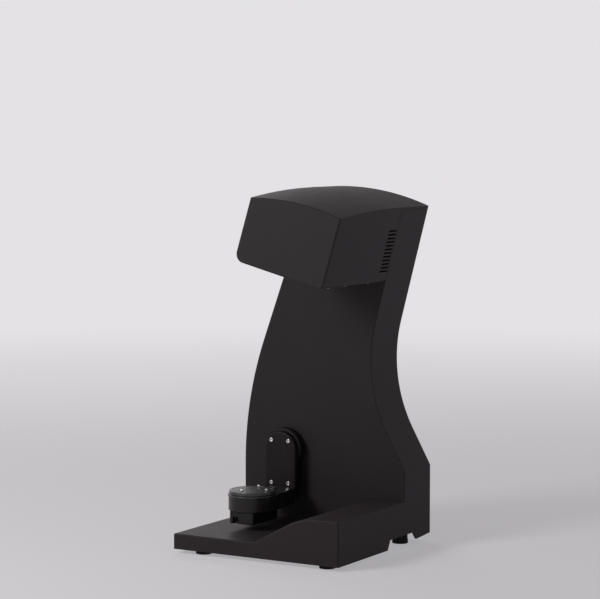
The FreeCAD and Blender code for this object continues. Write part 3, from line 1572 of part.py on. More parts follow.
def on_arm_belt(pulley, y):
    placed = pulley.copy()
    placed.translate(V(swing_axis_x, y, arm_belt_height))
    return placed


def turntable_motor_drive():
    """Motor shaft and its small pulley."""
    z0 = lower_cover_height + lower_cover_wall + arm_motor_floor + over
    width = arm_belt_width + 2 * pulley_rim_thickness
    shaft = rod_z(swing_axis_x, arm_motor_y, arm_motor_shaft, z0, arm_belt_height + width / 2)
    pulley = timing_pulley(arm_pinion_radius, width, arm_motor_shaft, arm_pinion_teeth)
    return [shaft, on_arm_belt(pulley, arm_motor_y)]


def turntable_spindle():
    """Spindle in the bracket's boss and the pulley on it."""
    width = arm_belt_width + 2 * pulley_rim_thickness
    spindle = rod_z(swing_axis_x, turntable_y, spindle_radius, boss_bottom - spindle_tail, disc_top - disc_skin)
    pulley = timing_pulley(arm_pulley_radius, width, spindle_radius, arm_pulley_teeth)
    return [spindle, on_arm_belt(pulley, turntable_y)]


def arm_belt():
    z0 = arm_belt_height - arm_belt_width / 2
    return belt_loop(turntable_y, arm_pulley_radius, arm_motor_y, arm_pinion_radius,
                     lambda a, b: V(swing_axis_x + a, b, z0), (arm_belt_thickness, V(0, 0, arm_belt_width)))


def pin_spots():
    circle = disc_radius - pin_inset
    return [(swing_axis_x + circle * math.cos(math.radians(a)), turntable_y + circle * math.sin(math.radians(a)))
            for a in (0, pin_spread, -pin_spread)]


def turntable_disc():
    """Round table with a shallow ring in its face and a hub down to the spindle's pulley."""
    disc = rod_z(swing_axis_x, turntable_y, disc_radius, disc_bottom, disc_top)
    disc = disc.makeChamfer(disc_chamfer, edges_at(disc, "Z", disc_top) + edges_at(disc, "Z", disc_bottom))
    hub_bottom = arm_belt_height + arm_belt_width / 2 + pulley_rim_thickness + disc_gap
    hub = rod_z(swing_axis_x, turntable_y, disc_hub_radius, hub_bottom, disc_bottom + over)
    ring = disc_radius - groove_inset
    groove = rod_z(swing_axis_x, turntable_y, ring, disc_top - groove_depth, disc_top + over)
    groove = groove.cut(rod_z(swing_axis_x, turntable_y, ring - groove_width, disc_top - over,
                              disc_top + 2 * over))
    cuts = [groove, rod_z(swing_axis_x, turntable_y, spindle_radius, hub_bottom - over, disc_top - disc_skin)]
    for x, y in pin_spots():
        cuts.append(rod_z(x, y, pin_shank_radius, disc_top - pin_sink, disc_top + over))
        cuts.append(rod_z(x, y, pin_radius + pin_relief_gap, disc_top - pin_relief_depth, disc_top + over))
    return cut_all(joined([disc, hub]), cuts)


def locating_pins():
    pins = []
    for x, y in pin_spots():
        head = rod_z(x, y, pin_radius, disc_top, disc_top + pin_height)
        head = head.makeChamfer(pin_chamfer, edges_at(head, "Z", disc_top + pin_height))
        pins.append(joined([head, rod_z(x, y, pin_shank_radius, disc_top - pin_sink, disc_top)]))
    return pins


# ---------------------------------------------------------------- cooling
def fan_screw_spots():
    half = fan_side / 2 - fan_screw_inset
    return [(fan_x + dx, fan_z + dz) for dx, dz in all_signs(half, half)]


def fan_frame():
    half = fan_side / 2
    y0 = panel_inner - fan_depth
    frame = block_y(fan_x - half, fan_x + half, fan_z - half, fan_z + half, y0, panel_inner, fan_round)
    holes = [rod_y(x, z, m3_hole, y0 - over, panel_inner + over) for x, z in fan_screw_spots()]
    frame = cut_all(frame, holes + [rod_y(fan_x, fan_z, half - fan_wall, y0 - over, panel_inner + over)])
    cup = rod_y(fan_x, fan_z, fan_hub_radius - fan_cup_step, y0, y0 + fan_cup_height)
    post = rod_y(fan_x, fan_z, fan_post_radius, y0, y0 + fan_post_height)
    arms = []
    for k in range(fan_arm_count):
        arm = box(0, half - over, y0, y0 + fan_arm_height, -fan_arm_half, fan_arm_half)
        arm.rotate(V(0, 0, 0), V(0, 1, 0), 360 * k / fan_arm_count + fan_arm_turn)
        arm.translate(V(fan_x, 0, fan_z))
        arms.append(arm)
    bore = rod_y(fan_x, fan_z, fan_pin_radius + running_gap, y0 + over, y0 + fan_post_height + over)
    return joined([frame, cup, post] + arms).cut(bore)


def fan_rotor():
    """Hub with raked blades, turning on a pin in the frame's post."""
    y0 = panel_inner - fan_depth + fan_cup_height + fan_rotor_gap
    y1 = panel_inner - 2 * fan_rotor_gap
    hollow = rod_y(0, 0, fan_hub_radius - fan_hub_wall, y0 - over, y1 - fan_hub_wall)
    hub = rod_y(0, 0, fan_hub_radius, y0, y1).cut(hollow)
    pin = rod_y(0, 0, fan_pin_radius, y0 - fan_pin_tail, y1 - over)
    blades = []
    for k in range(fan_blade_count):
        blade = box(fan_hub_radius - fan_blade_root, fan_side / 2 - fan_tip_gap - fan_wall / 2,
                    -fan_blade_thickness / 2, fan_blade_thickness / 2, -fan_blade_chord / 2, fan_blade_chord / 2)
        blade.rotate(V(0, 0, 0), V(1, 0, 0), fan_blade_rake)
        blade.translate(V(0, (y0 + y1) / 2, 0))
        blade.rotate(V(0, 0, 0), V(0, 1, 0), 360 * k / fan_blade_count)
        blades.append(blade)
    rotor = joined([hub, pin] + blades)
    rotor.translate(V(fan_x, 0, fan_z))
    return rotor


def fan_screws():
    bolt = m3(fan_depth + over)
    return [aimed(bolt, (x, back - m3_head_height, z), (0, 1, 0)) for x, z in fan_screw_spots()]


# ---------------------------------------------------------------- electronics
def board_left():
    return left_flank(board_bottom + board_high) + board_from_flank


def board_hole_spots():
    x0, x1 = board_left() + board_hole_inset, board_left() + board_across - board_hole_inset
    z0, z1 = board_bottom + board_hole_inset, board_bottom + board_high - board_hole_inset
    return [(x, z) for x in (x0, x1) for z in (z0, z1)]


def board_fixings():
    """Standoffs from the spine and the screws into them."""
    y0 = spine_front - standoff_length
    bolt = m3(board_thickness + case_screw_length)
    made = []
    for x, z in board_hole_spots():
        thread = rod_y(x, z, thread_radius, y0 - over, spine_front + over)
        made.append(rod_y(x, z, standoff_radius, y0, spine_front).cut(thread))
        made.append(aimed(bolt, (x, board_front, z), (0, -1, 0)))
    return made


def heat_sink(x, z):
    """Processor with its finned heat sink."""
    base = box(x, x + heat_sink_side, board_front - heat_sink_base, board_front, z, z + heat_sink_side)
    pitch = (heat_sink_side - heat_sink_fin) / (heat_sink_fins - 1)
    fins = [box(x + k * pitch, x + k * pitch + heat_sink_fin, board_front - heat_sink_height, board_front,
                z, z + heat_sink_side) for k in range(heat_sink_fins)]
    return joined([base] + fins)


def control_board():
    """Board with its processor, motor drivers, capacitors and edge connectors."""
    x0 = board_left()
    z0 = board_bottom
    y1 = board_front + board_thickness
    sheet = block_y(x0, x0 + board_across, z0, z0 + board_high, board_front, y1, board_round)
    board = cut_all(sheet, [rod_y(x, z, m3_hole, board_front - over, y1 + over) for x, z in board_hole_spots()])
    pieces = [board, heat_sink(x0 + heat_sink_x, z0 + heat_sink_z)]
    for k in range(driver_count):
        z = z0 + driver_z + k * driver_pitch
        pieces.append(box(x0 + driver_x, x0 + driver_x + driver_side, board_front - driver_height, board_front,
                          z, z + driver_side))
    for k in range(capacitor_count):
        z = z0 + capacitor_z + k * capacitor_pitch
        pieces.append(rod_y(x0 + capacitor_x, z, capacitor_radius, board_front - capacitor_height, board_front))
    for k in range(header_count):
        x = x0 + header_x + k * header_pitch
        pieces.append(box(x, x + header_length, board_front - header_height, board_front,
                          z0 + header_z, z0 + header_z + header_width))
    return pieces + board_fixings()


# ---------------------------------------------------------------- sockets
def socket_screw_spots():
    half = socket_plate_width / 2 + socket_screw_offset
    return [(socket_plate_x - half, socket_z), (socket_plate_x + half, socket_z)]


def socket_plate():
    """Recessed plate behind the rear panel's opening, with the screws and nuts that clamp it."""
    half = socket_plate_width / 2 + socket_plate_lap
    y0 = panel_inner - socket_plate_thickness
    y_low, y_high = y0 - over, panel_inner + over
    plate = block_y(socket_plate_x - half, socket_plate_x + half, socket_plate_bottom,
                    socket_plate_bottom + socket_plate_high, y0, panel_inner, socket_plate_round)
    switch_w, switch_h = switch_half_width + switch_cut_gap, switch_half_high + switch_cut_gap
    data_w, data_h = data_half_width + screw_gap, data_half_high + screw_gap
    cuts = [box(switch_x - switch_w, switch_x + switch_w, y_low, y_high, socket_z - switch_h, socket_z + switch_h),
            box(data_x - data_w, data_x + data_w, y_low, y_high, socket_z - data_h, socket_z + data_h),
            rod_y(inlet_x, socket_z, inlet_radius + switch_cut_gap, y_low, y_high)]
    cuts += [rod_y(x, z, m3_hole, y_low, y_high) for x, z in socket_screw_spots()]
    seat = back - m3_head_height
    length = seat - y0 + socket_nut_height
    bolts = [joined([aimed(m3(length), (x, seat, z), (0, 1, 0)),
                     rod_y(x, z, socket_nut_radius, y0 - socket_nut_height, y0)]) for x, z in socket_screw_spots()]
    return [cut_all(plate, cuts)] + bolts


def power_switch():
    """Body of the rocker switch, with its bezel and tabs."""
    y0 = panel_inner - switch_depth
    bezel_w, bezel_h = switch_half_width + switch_bezel, switch_half_high + switch_bezel
    body = box(switch_x - switch_half_width, switch_x + switch_half_width, y0, panel_inner,
               socket_z - switch_half_high, socket_z + switch_half_high)
    bezel = box(switch_x - bezel_w, switch_x + bezel_w, panel_inner, panel_inner + switch_bezel_height,
                socket_z - bezel_h, socket_z + bezel_h)
    tabs = [box(switch_x + k * blade_pitch - blade_half, switch_x + k * blade_pitch + blade_half,
                y0 - blade_length, y0 + over, socket_z - blade_half_high, socket_z + blade_half_high)
            for k in (-1, 0, 1)]
    well = box(switch_x - switch_well_half_width, switch_x + switch_well_half_width,
               panel_inner - switch_well_depth, back,
               socket_z - switch_well_half_high, socket_z + switch_well_half_high)
    pin_half = rocker_pin_half + rocker_pin_end_gap
    pivot = rod_x(switch_x - pin_half, switch_x + pin_half, rocker_y, socket_z, rocker_pin_radius + running_gap)
    return cut_all(joined([body, bezel] + tabs), [well, pivot])


def power_rocker():
    """Rocker on a cross pin, drawn at OFF with its lower end pressed in."""
    rear = rocker_half_high - screw_gap
    profile = [(rocker_y - rocker_back, socket_z - rear), (rocker_y + rocker_proud, socket_z - rocker_half_high),
               (rocker_y + rocker_waist, socket_z), (rocker_y + rocker_proud, socket_z + rocker_half_high),
               (rocker_y - rocker_back, socket_z + rear)]
    body = along_x(profile, switch_x - rocker_half_width, switch_x + rocker_half_width)
    pin = rod_x(switch_x - rocker_pin_half, switch_x + rocker_pin_half, rocker_y, socket_z, rocker_pin_radius)
    rocker = joined([body, pin])
    rocker.rotate(V(switch_x, rocker_y, socket_z), V(1, 0, 0), -rocker_travel / 2)
    return rocker


def power_inlet():
    """Round low-voltage inlet with its centre contact."""
    lip = panel_inner + inlet_proud
    barrel = rod_y(inlet_x, socket_z, inlet_radius, panel_inner - inlet_length, lip)
    flange = rod_y(inlet_x, socket_z, inlet_flange_radius, panel_inner, lip)
    bore = rod_y(inlet_x, socket_z, inlet_bore, panel_inner - inlet_bore_depth, lip + over)
    pin = rod_y(inlet_x, socket_z, inlet_pin_radius, panel_inner - inlet_bore_depth - over, lip - inlet_pin_short)
    return joined([joined([barrel, flange]).cut(bore), pin])


def data_socket():
    """Square data socket with a tongue in its mouth."""
    lip = panel_inner + data_proud
    shell = box(data_x - data_half_width, data_x + data_half_width, panel_inner - data_length, lip,
                socket_z - data_half_high, socket_z + data_half_high)
    mouth_w, mouth_h = data_half_width - data_wall, data_half_high - data_wall
    mouth = box(data_x - mouth_w, data_x + mouth_w, panel_inner - data_mouth_depth, lip + over,
                socket_z - mouth_h, socket_z + mouth_h)
    tongue = box(data_x - data_tongue_half_width, data_x + data_tongue_half_width,
                 panel_inner - data_mouth_depth - over, panel_inner - data_tongue_short,
                 socket_z - data_tongue_half_high, socket_z + data_tongue_half_high)
    return joined([shell.cut(mouth), tongue])


# ---------------------------------------------------------------- all nodes
def build():
    """Every node of the assembly: one solid, or a list where a node holds several."""
    return {
        "base_cover": base_cover(),
        "base_plate": base_plate(),
        "case_screws": case_screws(),
        "foot_posts": foot_posts(),
        "rubber_feet": rubber_feet(),
        "foot_screws": foot_screws(),
        "column_shell": column_shell(),
        "rear_panel": rear_panel(),
        "spine": spine(),
        "spine_feet": spine_feet(),
        "frame_screws": frame_screws(),
        "long_spine_screws": long_spine_screws(),
        "short_spine_screws": short_spine_screws(),
        "head_shell": head_shell(),
        "head_screws": head_screws(),
        "head_bottom_panel": head_bottom_panel(),
        "window_glass": window_glass(),
        "window_frame": window_frame(),
        "optics_beam": optics_beam(),
        "optics_screws": optics_screws(),
        "projector_housing": projector_housing(),
        "projector_lens": at_projector(lens_barrel(projector_lens_radius, projector_lens_length)),
        "front_camera": camera_body(-1),
        "rear_camera": camera_body(1),
        "camera_lenses": [camera_lens(-1), camera_lens(1)],
        "lens_glasses": [camera_lens_glass(-1), camera_lens_glass(1),
                         at_projector(lens_glass(projector_lens_radius, projector_lens_length))],
        "bearing_housing": bearing_housing(),
        "swing_bearings": swing_bearings(),
        "shaft_seal": shaft_seal(),
        "swing_motor": [swing_motor(), swing_motor_bush()],
        "swing_motor_rotor": swing_motor_rotor(),
        "swing_motor_pulley": swing_motor_pulley(),
        "swing_belt": swing_belt(),
        "swing_pulley": swing_pulley(),
        "swing_shaft": swing_shaft(),
        "swing_carrier": swing_carrier(),
        "swing_bracket": swing_bracket(),
        "swing_screws": swing_screws(),
        "arm_housing": arm_housing(),
        "arm_top_plate": arm_top_plate(),
        "access_cap": access_cap(),
        "arm_lower_cover": arm_lower_cover(),
        "arm_screws": arm_screws(),
        "arm_motor_screws": arm_motor_screws(),
        "spindle_bearings": spindle_bearings(),
        "turntable_motor": turntable_motor(),
        "turntable_motor_drive": turntable_motor_drive(),
        "arm_belt": arm_belt(),
        "turntable_disc": turntable_disc(),
        "turntable_spindle": turntable_spindle(),
        "locating_pins": locating_pins(),
        "fan_frame": fan_frame(),
        "fan_screws": fan_screws(),
        "fan_rotor": fan_rotor(),
        "control_board": control_board(),
        "socket_plate": socket_plate(),
        "power_inlet": power_inlet(),
        "data_socket": data_socket(),
        "power_switch": power_switch(),
        "power_rocker": power_rocker(),
    }


def export(nodes):
    os.makedirs("parts", exist_ok=True)
    for name, made in nodes.items():
        shape = Part.makeCompound(made) if isinstance(made, list) else made
        shape.exportStep("parts/" + name + ".step")


export(build())
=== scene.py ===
import bpy
from math import acos, atan, atan2, cos, degrees, hypot, pi, radians, sin
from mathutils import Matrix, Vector


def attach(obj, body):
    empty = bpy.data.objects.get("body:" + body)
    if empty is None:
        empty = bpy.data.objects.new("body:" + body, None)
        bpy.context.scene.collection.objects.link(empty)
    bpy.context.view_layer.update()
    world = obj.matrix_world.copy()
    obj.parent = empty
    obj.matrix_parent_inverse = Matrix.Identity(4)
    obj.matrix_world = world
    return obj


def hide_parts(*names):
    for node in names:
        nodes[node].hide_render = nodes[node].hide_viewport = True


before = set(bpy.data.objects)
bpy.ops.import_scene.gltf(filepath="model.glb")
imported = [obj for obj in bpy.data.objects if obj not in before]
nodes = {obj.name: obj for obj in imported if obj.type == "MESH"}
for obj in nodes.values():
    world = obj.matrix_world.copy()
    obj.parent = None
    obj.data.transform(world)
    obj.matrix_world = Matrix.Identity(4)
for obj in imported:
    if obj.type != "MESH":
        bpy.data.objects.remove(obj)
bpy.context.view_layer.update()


# ---------------------------------------------------------------- finishes
def tone(code):
    """A colour written as six hex digits, as the linear colour that a shader takes."""
    parts = [int(code[i:i + 2], 16) / 255 for i in (0, 2, 4)]
    return [p / 12.92 if p <= 0.04045 else ((p + 0.055) / 1.055) ** 2.4 for p in parts] + [1.0]


class Wire:
    """One output of a finish's nodes. Sums on it add Math nodes."""

    def __init__(self, finish, socket):
        self.finish = finish
        self.socket = socket

    def maths(self, operation, first, second):
        return self.finish.node("ShaderNodeMath", {"operation": operation}, {0: first, 1: second})

    def __add__(self, other):
        return self.maths("ADD", self, other)

    def __radd__(self, other):
        return self.maths("ADD", other, self)

    def __sub__(self, other):
        return self.maths("SUBTRACT", self, other)

    def __rsub__(self, other):
        return self.maths("SUBTRACT", other, self)

    def __mul__(self, other):
        return self.maths("MULTIPLY", self, other)

    def __rmul__(self, other):
        return self.maths("MULTIPLY", other, self)

    def above(self, edge, soft):
        """0 below the edge, 1 above it, over a soft step."""
        settings = {"interpolation_type": "SMOOTHSTEP"}
        return self.finish.node("ShaderNodeMapRange", settings, {0: self, 1: edge - soft, 2: edge + soft})


class Finish:
    """A named finish, with its shader and the patterns that vary it. Sizes are in millimetres."""

    def __init__(self, name, constants):
        self.material = bpy.data.materials.new(name)
        self.material.use_nodes = True
        self.tree = self.material.node_tree
        self.tree.nodes.clear()
        self.shader = self.tree.nodes.new("ShaderNodeBsdfPrincipled")
        output = self.tree.nodes.new("ShaderNodeOutputMaterial")
        self.tree.links.new(self.shader.outputs[0], output.inputs["Surface"])
        for socket, value in constants.items():
            self.shader.inputs[socket].default_value = value
        self.place = self.node("ShaderNodeTexCoord", {}, {}, "Object")

    def node(self, kind, settings, inputs, output=0):
        """Adds a node, sets it up, links or fills its sockets, and gives back one of its outputs."""
        node = self.tree.nodes.new(kind)
        for name, value in settings.items():
            setattr(node, name, value)
        for key, value in inputs.items():
            if isinstance(value, Wire):
                self.tree.links.new(value.socket, node.inputs[key])
            else:
                node.inputs[key].default_value = value
        return Wire(self, node.outputs[output])

    def stretched(self, factors):
        """The object's coordinates, with each axis multiplied by its factor."""
        return self.node("ShaderNodeMapping", {}, {"Vector": self.place, "Scale": factors})

    def noise(self, size, detail=2.0, rough=0.5, along=(1, 1, 1)):
        inputs = {"Vector": self.stretched(along), "Scale": 1000 / size, "Detail": detail, "Roughness": rough}
        return self.node("ShaderNodeTexNoise", {}, inputs)

    def cells(self, size, feature, output="Distance"):
        inputs = {"Vector": self.place, "Scale": 1000 / size}
        return self.node("ShaderNodeTexVoronoi", {"feature": feature}, inputs, output)

    def waves(self, size, axis, wobble=0.0):
        """Even bands across an axis, one to each size."""
        settings = {"wave_type": "BANDS", "bands_direction": axis, "wave_profile": "SIN"}
        inputs = {"Vector": self.place, "Scale": 1000 / size * 0.05 * 2 * pi, "Distortion": wobble}
        return self.node("ShaderNodeTexWave", settings, inputs, "Fac")

    def facing(self, axis):
        """How far the surface faces along an axis of the object, from -1 to 1."""
        normal = self.node("ShaderNodeTexCoord", {}, {}, "Normal")
        return self.node("ShaderNodeSeparateXYZ", {}, {0: normal}, axis)

    def blend(self, factor, first, second):
        settings = {"data_type": "RGBA"}
        return self.node("ShaderNodeMix", settings, {0: factor, 6: first, 7: second}, 2)

    def colour(self, value):
        self.feed("Base Color", value)

    def roughness(self, value):
        self.feed("Roughness", value)

    def relief(self, height, depth, over=None):
        """Raises the surface by height times depth, in millimetres."""
        inputs = {"Height": height, "Distance": depth / 1000, "Strength": 1.0}
        if over:
            inputs["Normal"] = over
        bump = self.node("ShaderNodeBump", {}, inputs)
        self.feed("Normal", bump)
        return bump

    def feed(self, socket, value):
        if isinstance(value, Wire):
            self.tree.links.new(value.socket, self.shader.inputs[socket])
        else:
            self.shader.inputs[socket].default_value = value


def moulded_black(name, dark, light, grain, base_rough, sheen, depth=0.028):
    """Spark-textured moulded plastic: a fine grain, slow unevenness, and dust on what faces up."""
    finish = Finish(name, {"IOR": 1.5, "Specular IOR Level": sheen})
    slow = finish.noise(70, 3, 0.55)
    grit = finish.noise(grain, 2, 0.6)
    speck = finish.noise(1.6, 1, 0.5).above(0.70, 0.04)
    dust = finish.facing("Z").above(0.75, 0.2) * finish.noise(18, 4, 0.65).above(0.55, 0.2)
    body = finish.blend(slow, tone(dark), tone(light))
    body = finish.blend(grit.above(0.62, 0.12) * 0.25, body, tone("454041"))
    body = finish.blend(speck * dust * 0.10, body, tone("8a8682"))
    finish.colour(body)
    scuff = finish.noise(9, 5, 0.7, (1, 1, 0.25)).above(0.66, 0.06)
    finish.roughness(base_rough + 0.06 * slow + 0.06 * grit - 0.04 * scuff + 0.03 * dust)
    coarse = finish.relief(finish.noise(2.4, 1, 0.4), 0.35 * depth)
    finish.relief(grit, depth, coarse)
    return finish.material


def gloss_black(name, dark, rough):
    """Hard anodised and polished face: nearly black, with hairline marks and faint prints."""
    finish = Finish(name, {"IOR": 1.55, "Specular IOR Level": 0.5, "Coat Roughness": 0.06})
    print_mark = finish.noise(14, 3, 0.6).above(0.56, 0.12)
    hair = finish.noise(0.5, 2, 0.6, (1, 0.02, 1)).above(0.66, 0.05)
    finish.colour(finish.blend(finish.noise(30, 2, 0.5), tone(dark), tone("1d1b1e")))
    finish.roughness(rough + 0.10 * print_mark + 0.05 * hair)
    finish.feed("Coat Weight", 0.35 - 0.15 * print_mark)
    finish.relief(finish.noise(0.7, 2, 0.5), 0.002)
    return finish.material


def blasted_metal(name, dark, light, metallic, rough, grain, sheen):
    """Bead-blasted and anodised metal: an even fine grain with slow clouds."""
    finish = Finish(name, {"Metallic": metallic, "Specular IOR Level": sheen})
    cloud = finish.noise(26, 3, 0.55)
    grit = finish.noise(grain, 2, 0.6)
    finish.colour(finish.blend(cloud * 0.7 + grit * 0.3, tone(dark), tone(light)))
    finish.roughness(rough + 0.12 * cloud + 0.08 * grit)
    finish.relief(grit, 0.012)
    return finish.material


def turned_steel(name, dark, light, rough, line):
    """Bright turned steel: fine tool lines and a little patchy staining."""
    finish = Finish(name, {"Metallic": 1.0})
    stain = finish.noise(3.5, 3, 0.6)
    lines = finish.noise(line, 1, 0.4, (1, 1, 6))
    finish.colour(finish.blend(stain, tone(dark), tone(light)))
    finish.roughness(rough + 0.12 * stain + 0.08 * lines)
    finish.relief(lines, 0.003)
    return finish.material


def rolled_sheet(name):
    """Zinc-plated sheet: spangles and the rolling direction."""
    finish = Finish(name, {"Metallic": 1.0})
    spangle = finish.cells(7, "F1", "Color")
    grey = finish.node("ShaderNodeSeparateColor", {}, {0: spangle}, 0)
    rolled = finish.noise(0.8, 2, 0.5, (1, 0.03, 1))
    finish.colour(finish.blend(grey * 0.5 + rolled * 0.3, tone("8b8f92"), tone("b9bdc0")))
    finish.roughness(0.32 + 0.18 * grey + 0.10 * rolled)
    finish.relief(rolled, 0.004)
    return finish.material


def soft_rubber(name, dark, light, rib):
    """Moulded rubber: dull, with a bloom and fine ribs or pores."""
    finish = Finish(name, {"IOR": 1.5, "Specular IOR Level": 0.3})
    bloom = finish.noise(8, 4, 0.6)
    pores = finish.cells(rib, "F1")
    finish.colour(finish.blend(bloom.above(0.5, 0.25), tone(dark), tone(light)))
    finish.roughness(0.72 + 0.16 * bloom)
    finish.relief(pores, 0.05)
    return finish.material


def toothed_belt(name):
    """Belt back: moulded rubber over a woven cord."""
    finish = Finish(name, {"IOR": 1.5, "Specular IOR Level": 0.3})
    weave = finish.waves(0.7, "DIAGONAL") * 0.5 + finish.noise(0.3, 2, 0.5) * 0.5
    finish.colour(finish.blend(weave, tone("141414"), tone("262424")))
    finish.roughness(0.62 + 0.2 * weave)
    finish.relief(weave, 0.03)
    return finish.material


def pressed_felt(name):
    finish = Finish(name, {"Specular IOR Level": 0.1, "Sheen Weight": 0.5, "Sheen Roughness": 0.6})
    fibre = finish.noise(0.35, 4, 0.7, (1, 1, 0.35))
    tuft = finish.noise(1.8, 3, 0.6)
    finish.colour(finish.blend(fibre * 0.6 + tuft * 0.4, tone("1b1a1a"), tone("3a3837")))
    finish.roughness(0.85 + 0.1 * tuft)
    finish.relief(fibre, 0.10)
    return finish.material


def clear_glass(name):
    """Coated cover glass with a few smears."""
    finish = Finish(name, {"IOR": 1.52, "Transmission Weight": 1.0})
    smear = finish.noise(16, 4, 0.6, (1, 0.4, 1)).above(0.58, 0.1)
    finish.colour(finish.blend(smear, tone("f4f8f6"), tone("e2e6e6")))
    finish.roughness(0.01 + 0.10 * smear)
    finish.relief(finish.noise(25, 1, 0.3), 0.004)
    return finish.material


def coated_lens(name):
    """Front element of a lens that looks down: dark glass, with the coating's reflection painted into its
    colour, violet below and green round its side.
    """
    finish = Finish(name, {"IOR": 1.6, "Specular IOR Level": 0.8, "Coat Weight": 1.0, "Coat Roughness": 0.02})
    # painted reflection: the coating's violet and green tints are put into the colour by which way the glass
    # faces
    edge = finish.facing("Z").above(-0.85, 0.12)
    painted_coat_reflection = finish.blend(edge, tone("1a1030"), tone("123626"))
    finish.colour(finish.blend(finish.noise(5, 2, 0.5) * 0.3, painted_coat_reflection, tone("05060c")))
    finish.roughness(0.03 + 0.04 * finish.noise(6, 3, 0.6))
    return finish.material


def circuit_board(name):
    """Solder mask over copper tracks, with tinned pads."""
    finish = Finish(name, {"IOR": 1.5, "Specular IOR Level": 0.5})
    across = finish.waves(2.6, "X", 0.6).above(0.78, 0.06)
    upward = finish.waves(3.9, "Z", 0.5).above(0.82, 0.06)
    patch = finish.cells(17, "F1", "Color")
    choice = finish.node("ShaderNodeSeparateColor", {}, {0: patch}, 0).above(0.5, 0.02)
    track = across * choice + upward * (1 - choice)
    pad = 1 - finish.cells(4.2, "F1").above(0.16, 0.03)
    board = finish.blend(track, tone("0d3a26"), tone("1c6140"))
    finish.colour(finish.blend(pad, board, tone("b8b4a6")))
    finish.feed("Metallic", pad * 0.9)
    finish.roughness(0.38 - 0.1 * pad + 0.1 * finish.noise(5, 2, 0.5))
    finish.relief(track + pad, 0.035)
    return finish.material


finishes = {
    "black_shell": moulded_black("moulded_shell", "262124", "2c282b", 0.55, 0.50, 0.16),
    "base_satin": moulded_black("satin_base", "2f2a2c", "353032", 0.55, 0.44, 0.10, 0.016),
    "black_panel": moulded_black("moulded_panel", "231e20", "2a2527", 0.8, 0.54, 0.16),
    "arm_matte": moulded_black("moulded_arm", "171413", "1c1918", 0.45, 0.26, 0.30),
    "arm_black": gloss_black("polished_arm_top", "131112", 0.36),
    "table_black": gloss_black("polished_table", "1c1a1c", 0.46),
    "black_metal": blasted_metal("black_anodised", "120f0e", "191514", 0.0, 0.42, 0.35, 0.17),
    "aluminium": blasted_metal("milled_aluminium", "8e9194", "b4b7ba", 1.0, 0.28, 0.5, 0.5),
    "camera_metal": blasted_metal("camera_anodised", "1b1c20", "2a2b30", 0.8, 0.30, 0.3, 0.4),
    "projector_black": blasted_metal("projector_paint", "18181a", "232326", 0.0, 0.55, 0.9, 0.3),
    "steel": turned_steel("screw_steel", "a9a9ab", "d4d4d6", 0.16, 0.35),
    "pin_steel": turned_steel("pin_steel", "c4c4c6", "ececee", 0.07, 0.25),
    "bearing_steel": turned_steel("bearing_steel", "b0b0b2", "d8d8da", 0.10, 0.2),
    "sheet_steel": rolled_sheet("plated_sheet"),
    "felt": pressed_felt("pressed_felt"),
    "rubber": soft_rubber("foot_rubber", "121112", "1f1d1d", 0.9),
    "belt": toothed_belt("belt_rubber"),
    "glass": clear_glass("window_coating"),
    "lens_glass": coated_lens("lens_coating_painted_reflection"),
    "board": circuit_board("solder_mask"),
    "fan_black": moulded_black("fan_plastic", "161617", "202021", 1.2, 0.42, 0.5),
    "socket_black": moulded_black("socket_nylon", "131313", "1c1b1b", 0.7, 0.38, 0.5),
    "rocker_black": moulded_black("rocker_plastic", "101010", "181717", 0.6, 0.26, 0.5),
}

for node in nodes.values():
    for place in node.material_slots:
        place.material = finishes[place.material.name.split(".")[0]]
nodes["base_cover"].material_slots[0].material = finishes["base_satin"]


# ---------------------------------------------------------------- making
mm = 0.001                       # all sizes below are in millimetres, and angles in degrees
arm_x, arm_y = -54.5, -39.0      # axis of the turntable
pin_circle, pin_spread = 21.5, 98.0                  # locating pins: their radius, and the angle between two
pin_radius, pin_shank, pin_sink = 2.0, 1.5, 73.0
table_bottom, table_top, spindle_radius = 67.5, 76.0, 2.5
lid_bottom, lid_top, arm_radius = 68.5, 71.0, 31.0
cap_y, cap_radius = 8.0, 7.5
plate_front, plate_back, plate_half = 30.0, 38.0, 23.6
leg_bottom, leg_top = 56.0, 60.0
swing_z = 120.3                  # height of the swing axis
screw_across, screw_low, screw_high = 13.0, 75.05, 131.85
screw_shank, screw_head, head_sink = 1.5, 2.75, 1.2
foot_places = {"front_right": (96.25, -104.7), "rear_right": (96.25, 86.9),
               "front_left": (-86.75, -104.7), "rear_left": (-86.75, 86.9)}
head_x, head_z, head_roll = 91.932, 345.5, 14.7      # the head's own frame
optics_x, beam_z = -80.864, 62.0                     # the optics, in the head's frame
camera_length, camera_spread, camera_toe_in, camera_pad = 32.0, 48.0, 10.099, 4.543
camera_lens, projector_lens = (12.0, 14.0), (13.0, 13.0)     # radius and length of their barrels
projector_body = 40.0
switch_x, rocker_y, socket_z, rocker_travel = 20.0, 115.5, 89.0, 12.0


def choose(piece, kind, test):
    """Leaves the piece in edit mode with only the faces or vertices that pass the test selected."""
    bpy.context.view_layer.objects.active = piece
    bpy.ops.object.mode_set(mode="EDIT")
    bpy.ops.mesh.select_mode(type=kind)
    bpy.ops.mesh.select_all(action="DESELECT")
    bpy.ops.object.mode_set(mode="OBJECT")
    for item in piece.data.polygons if kind == "FACE" else piece.data.vertices:
        item.select = test(item)
    bpy.ops.object.mode_set(mode="EDIT")


def begin():
    """Lets go of whatever is selected, such as the frame's own objects."""
    bpy.ops.object.select_all(action="DESELECT")


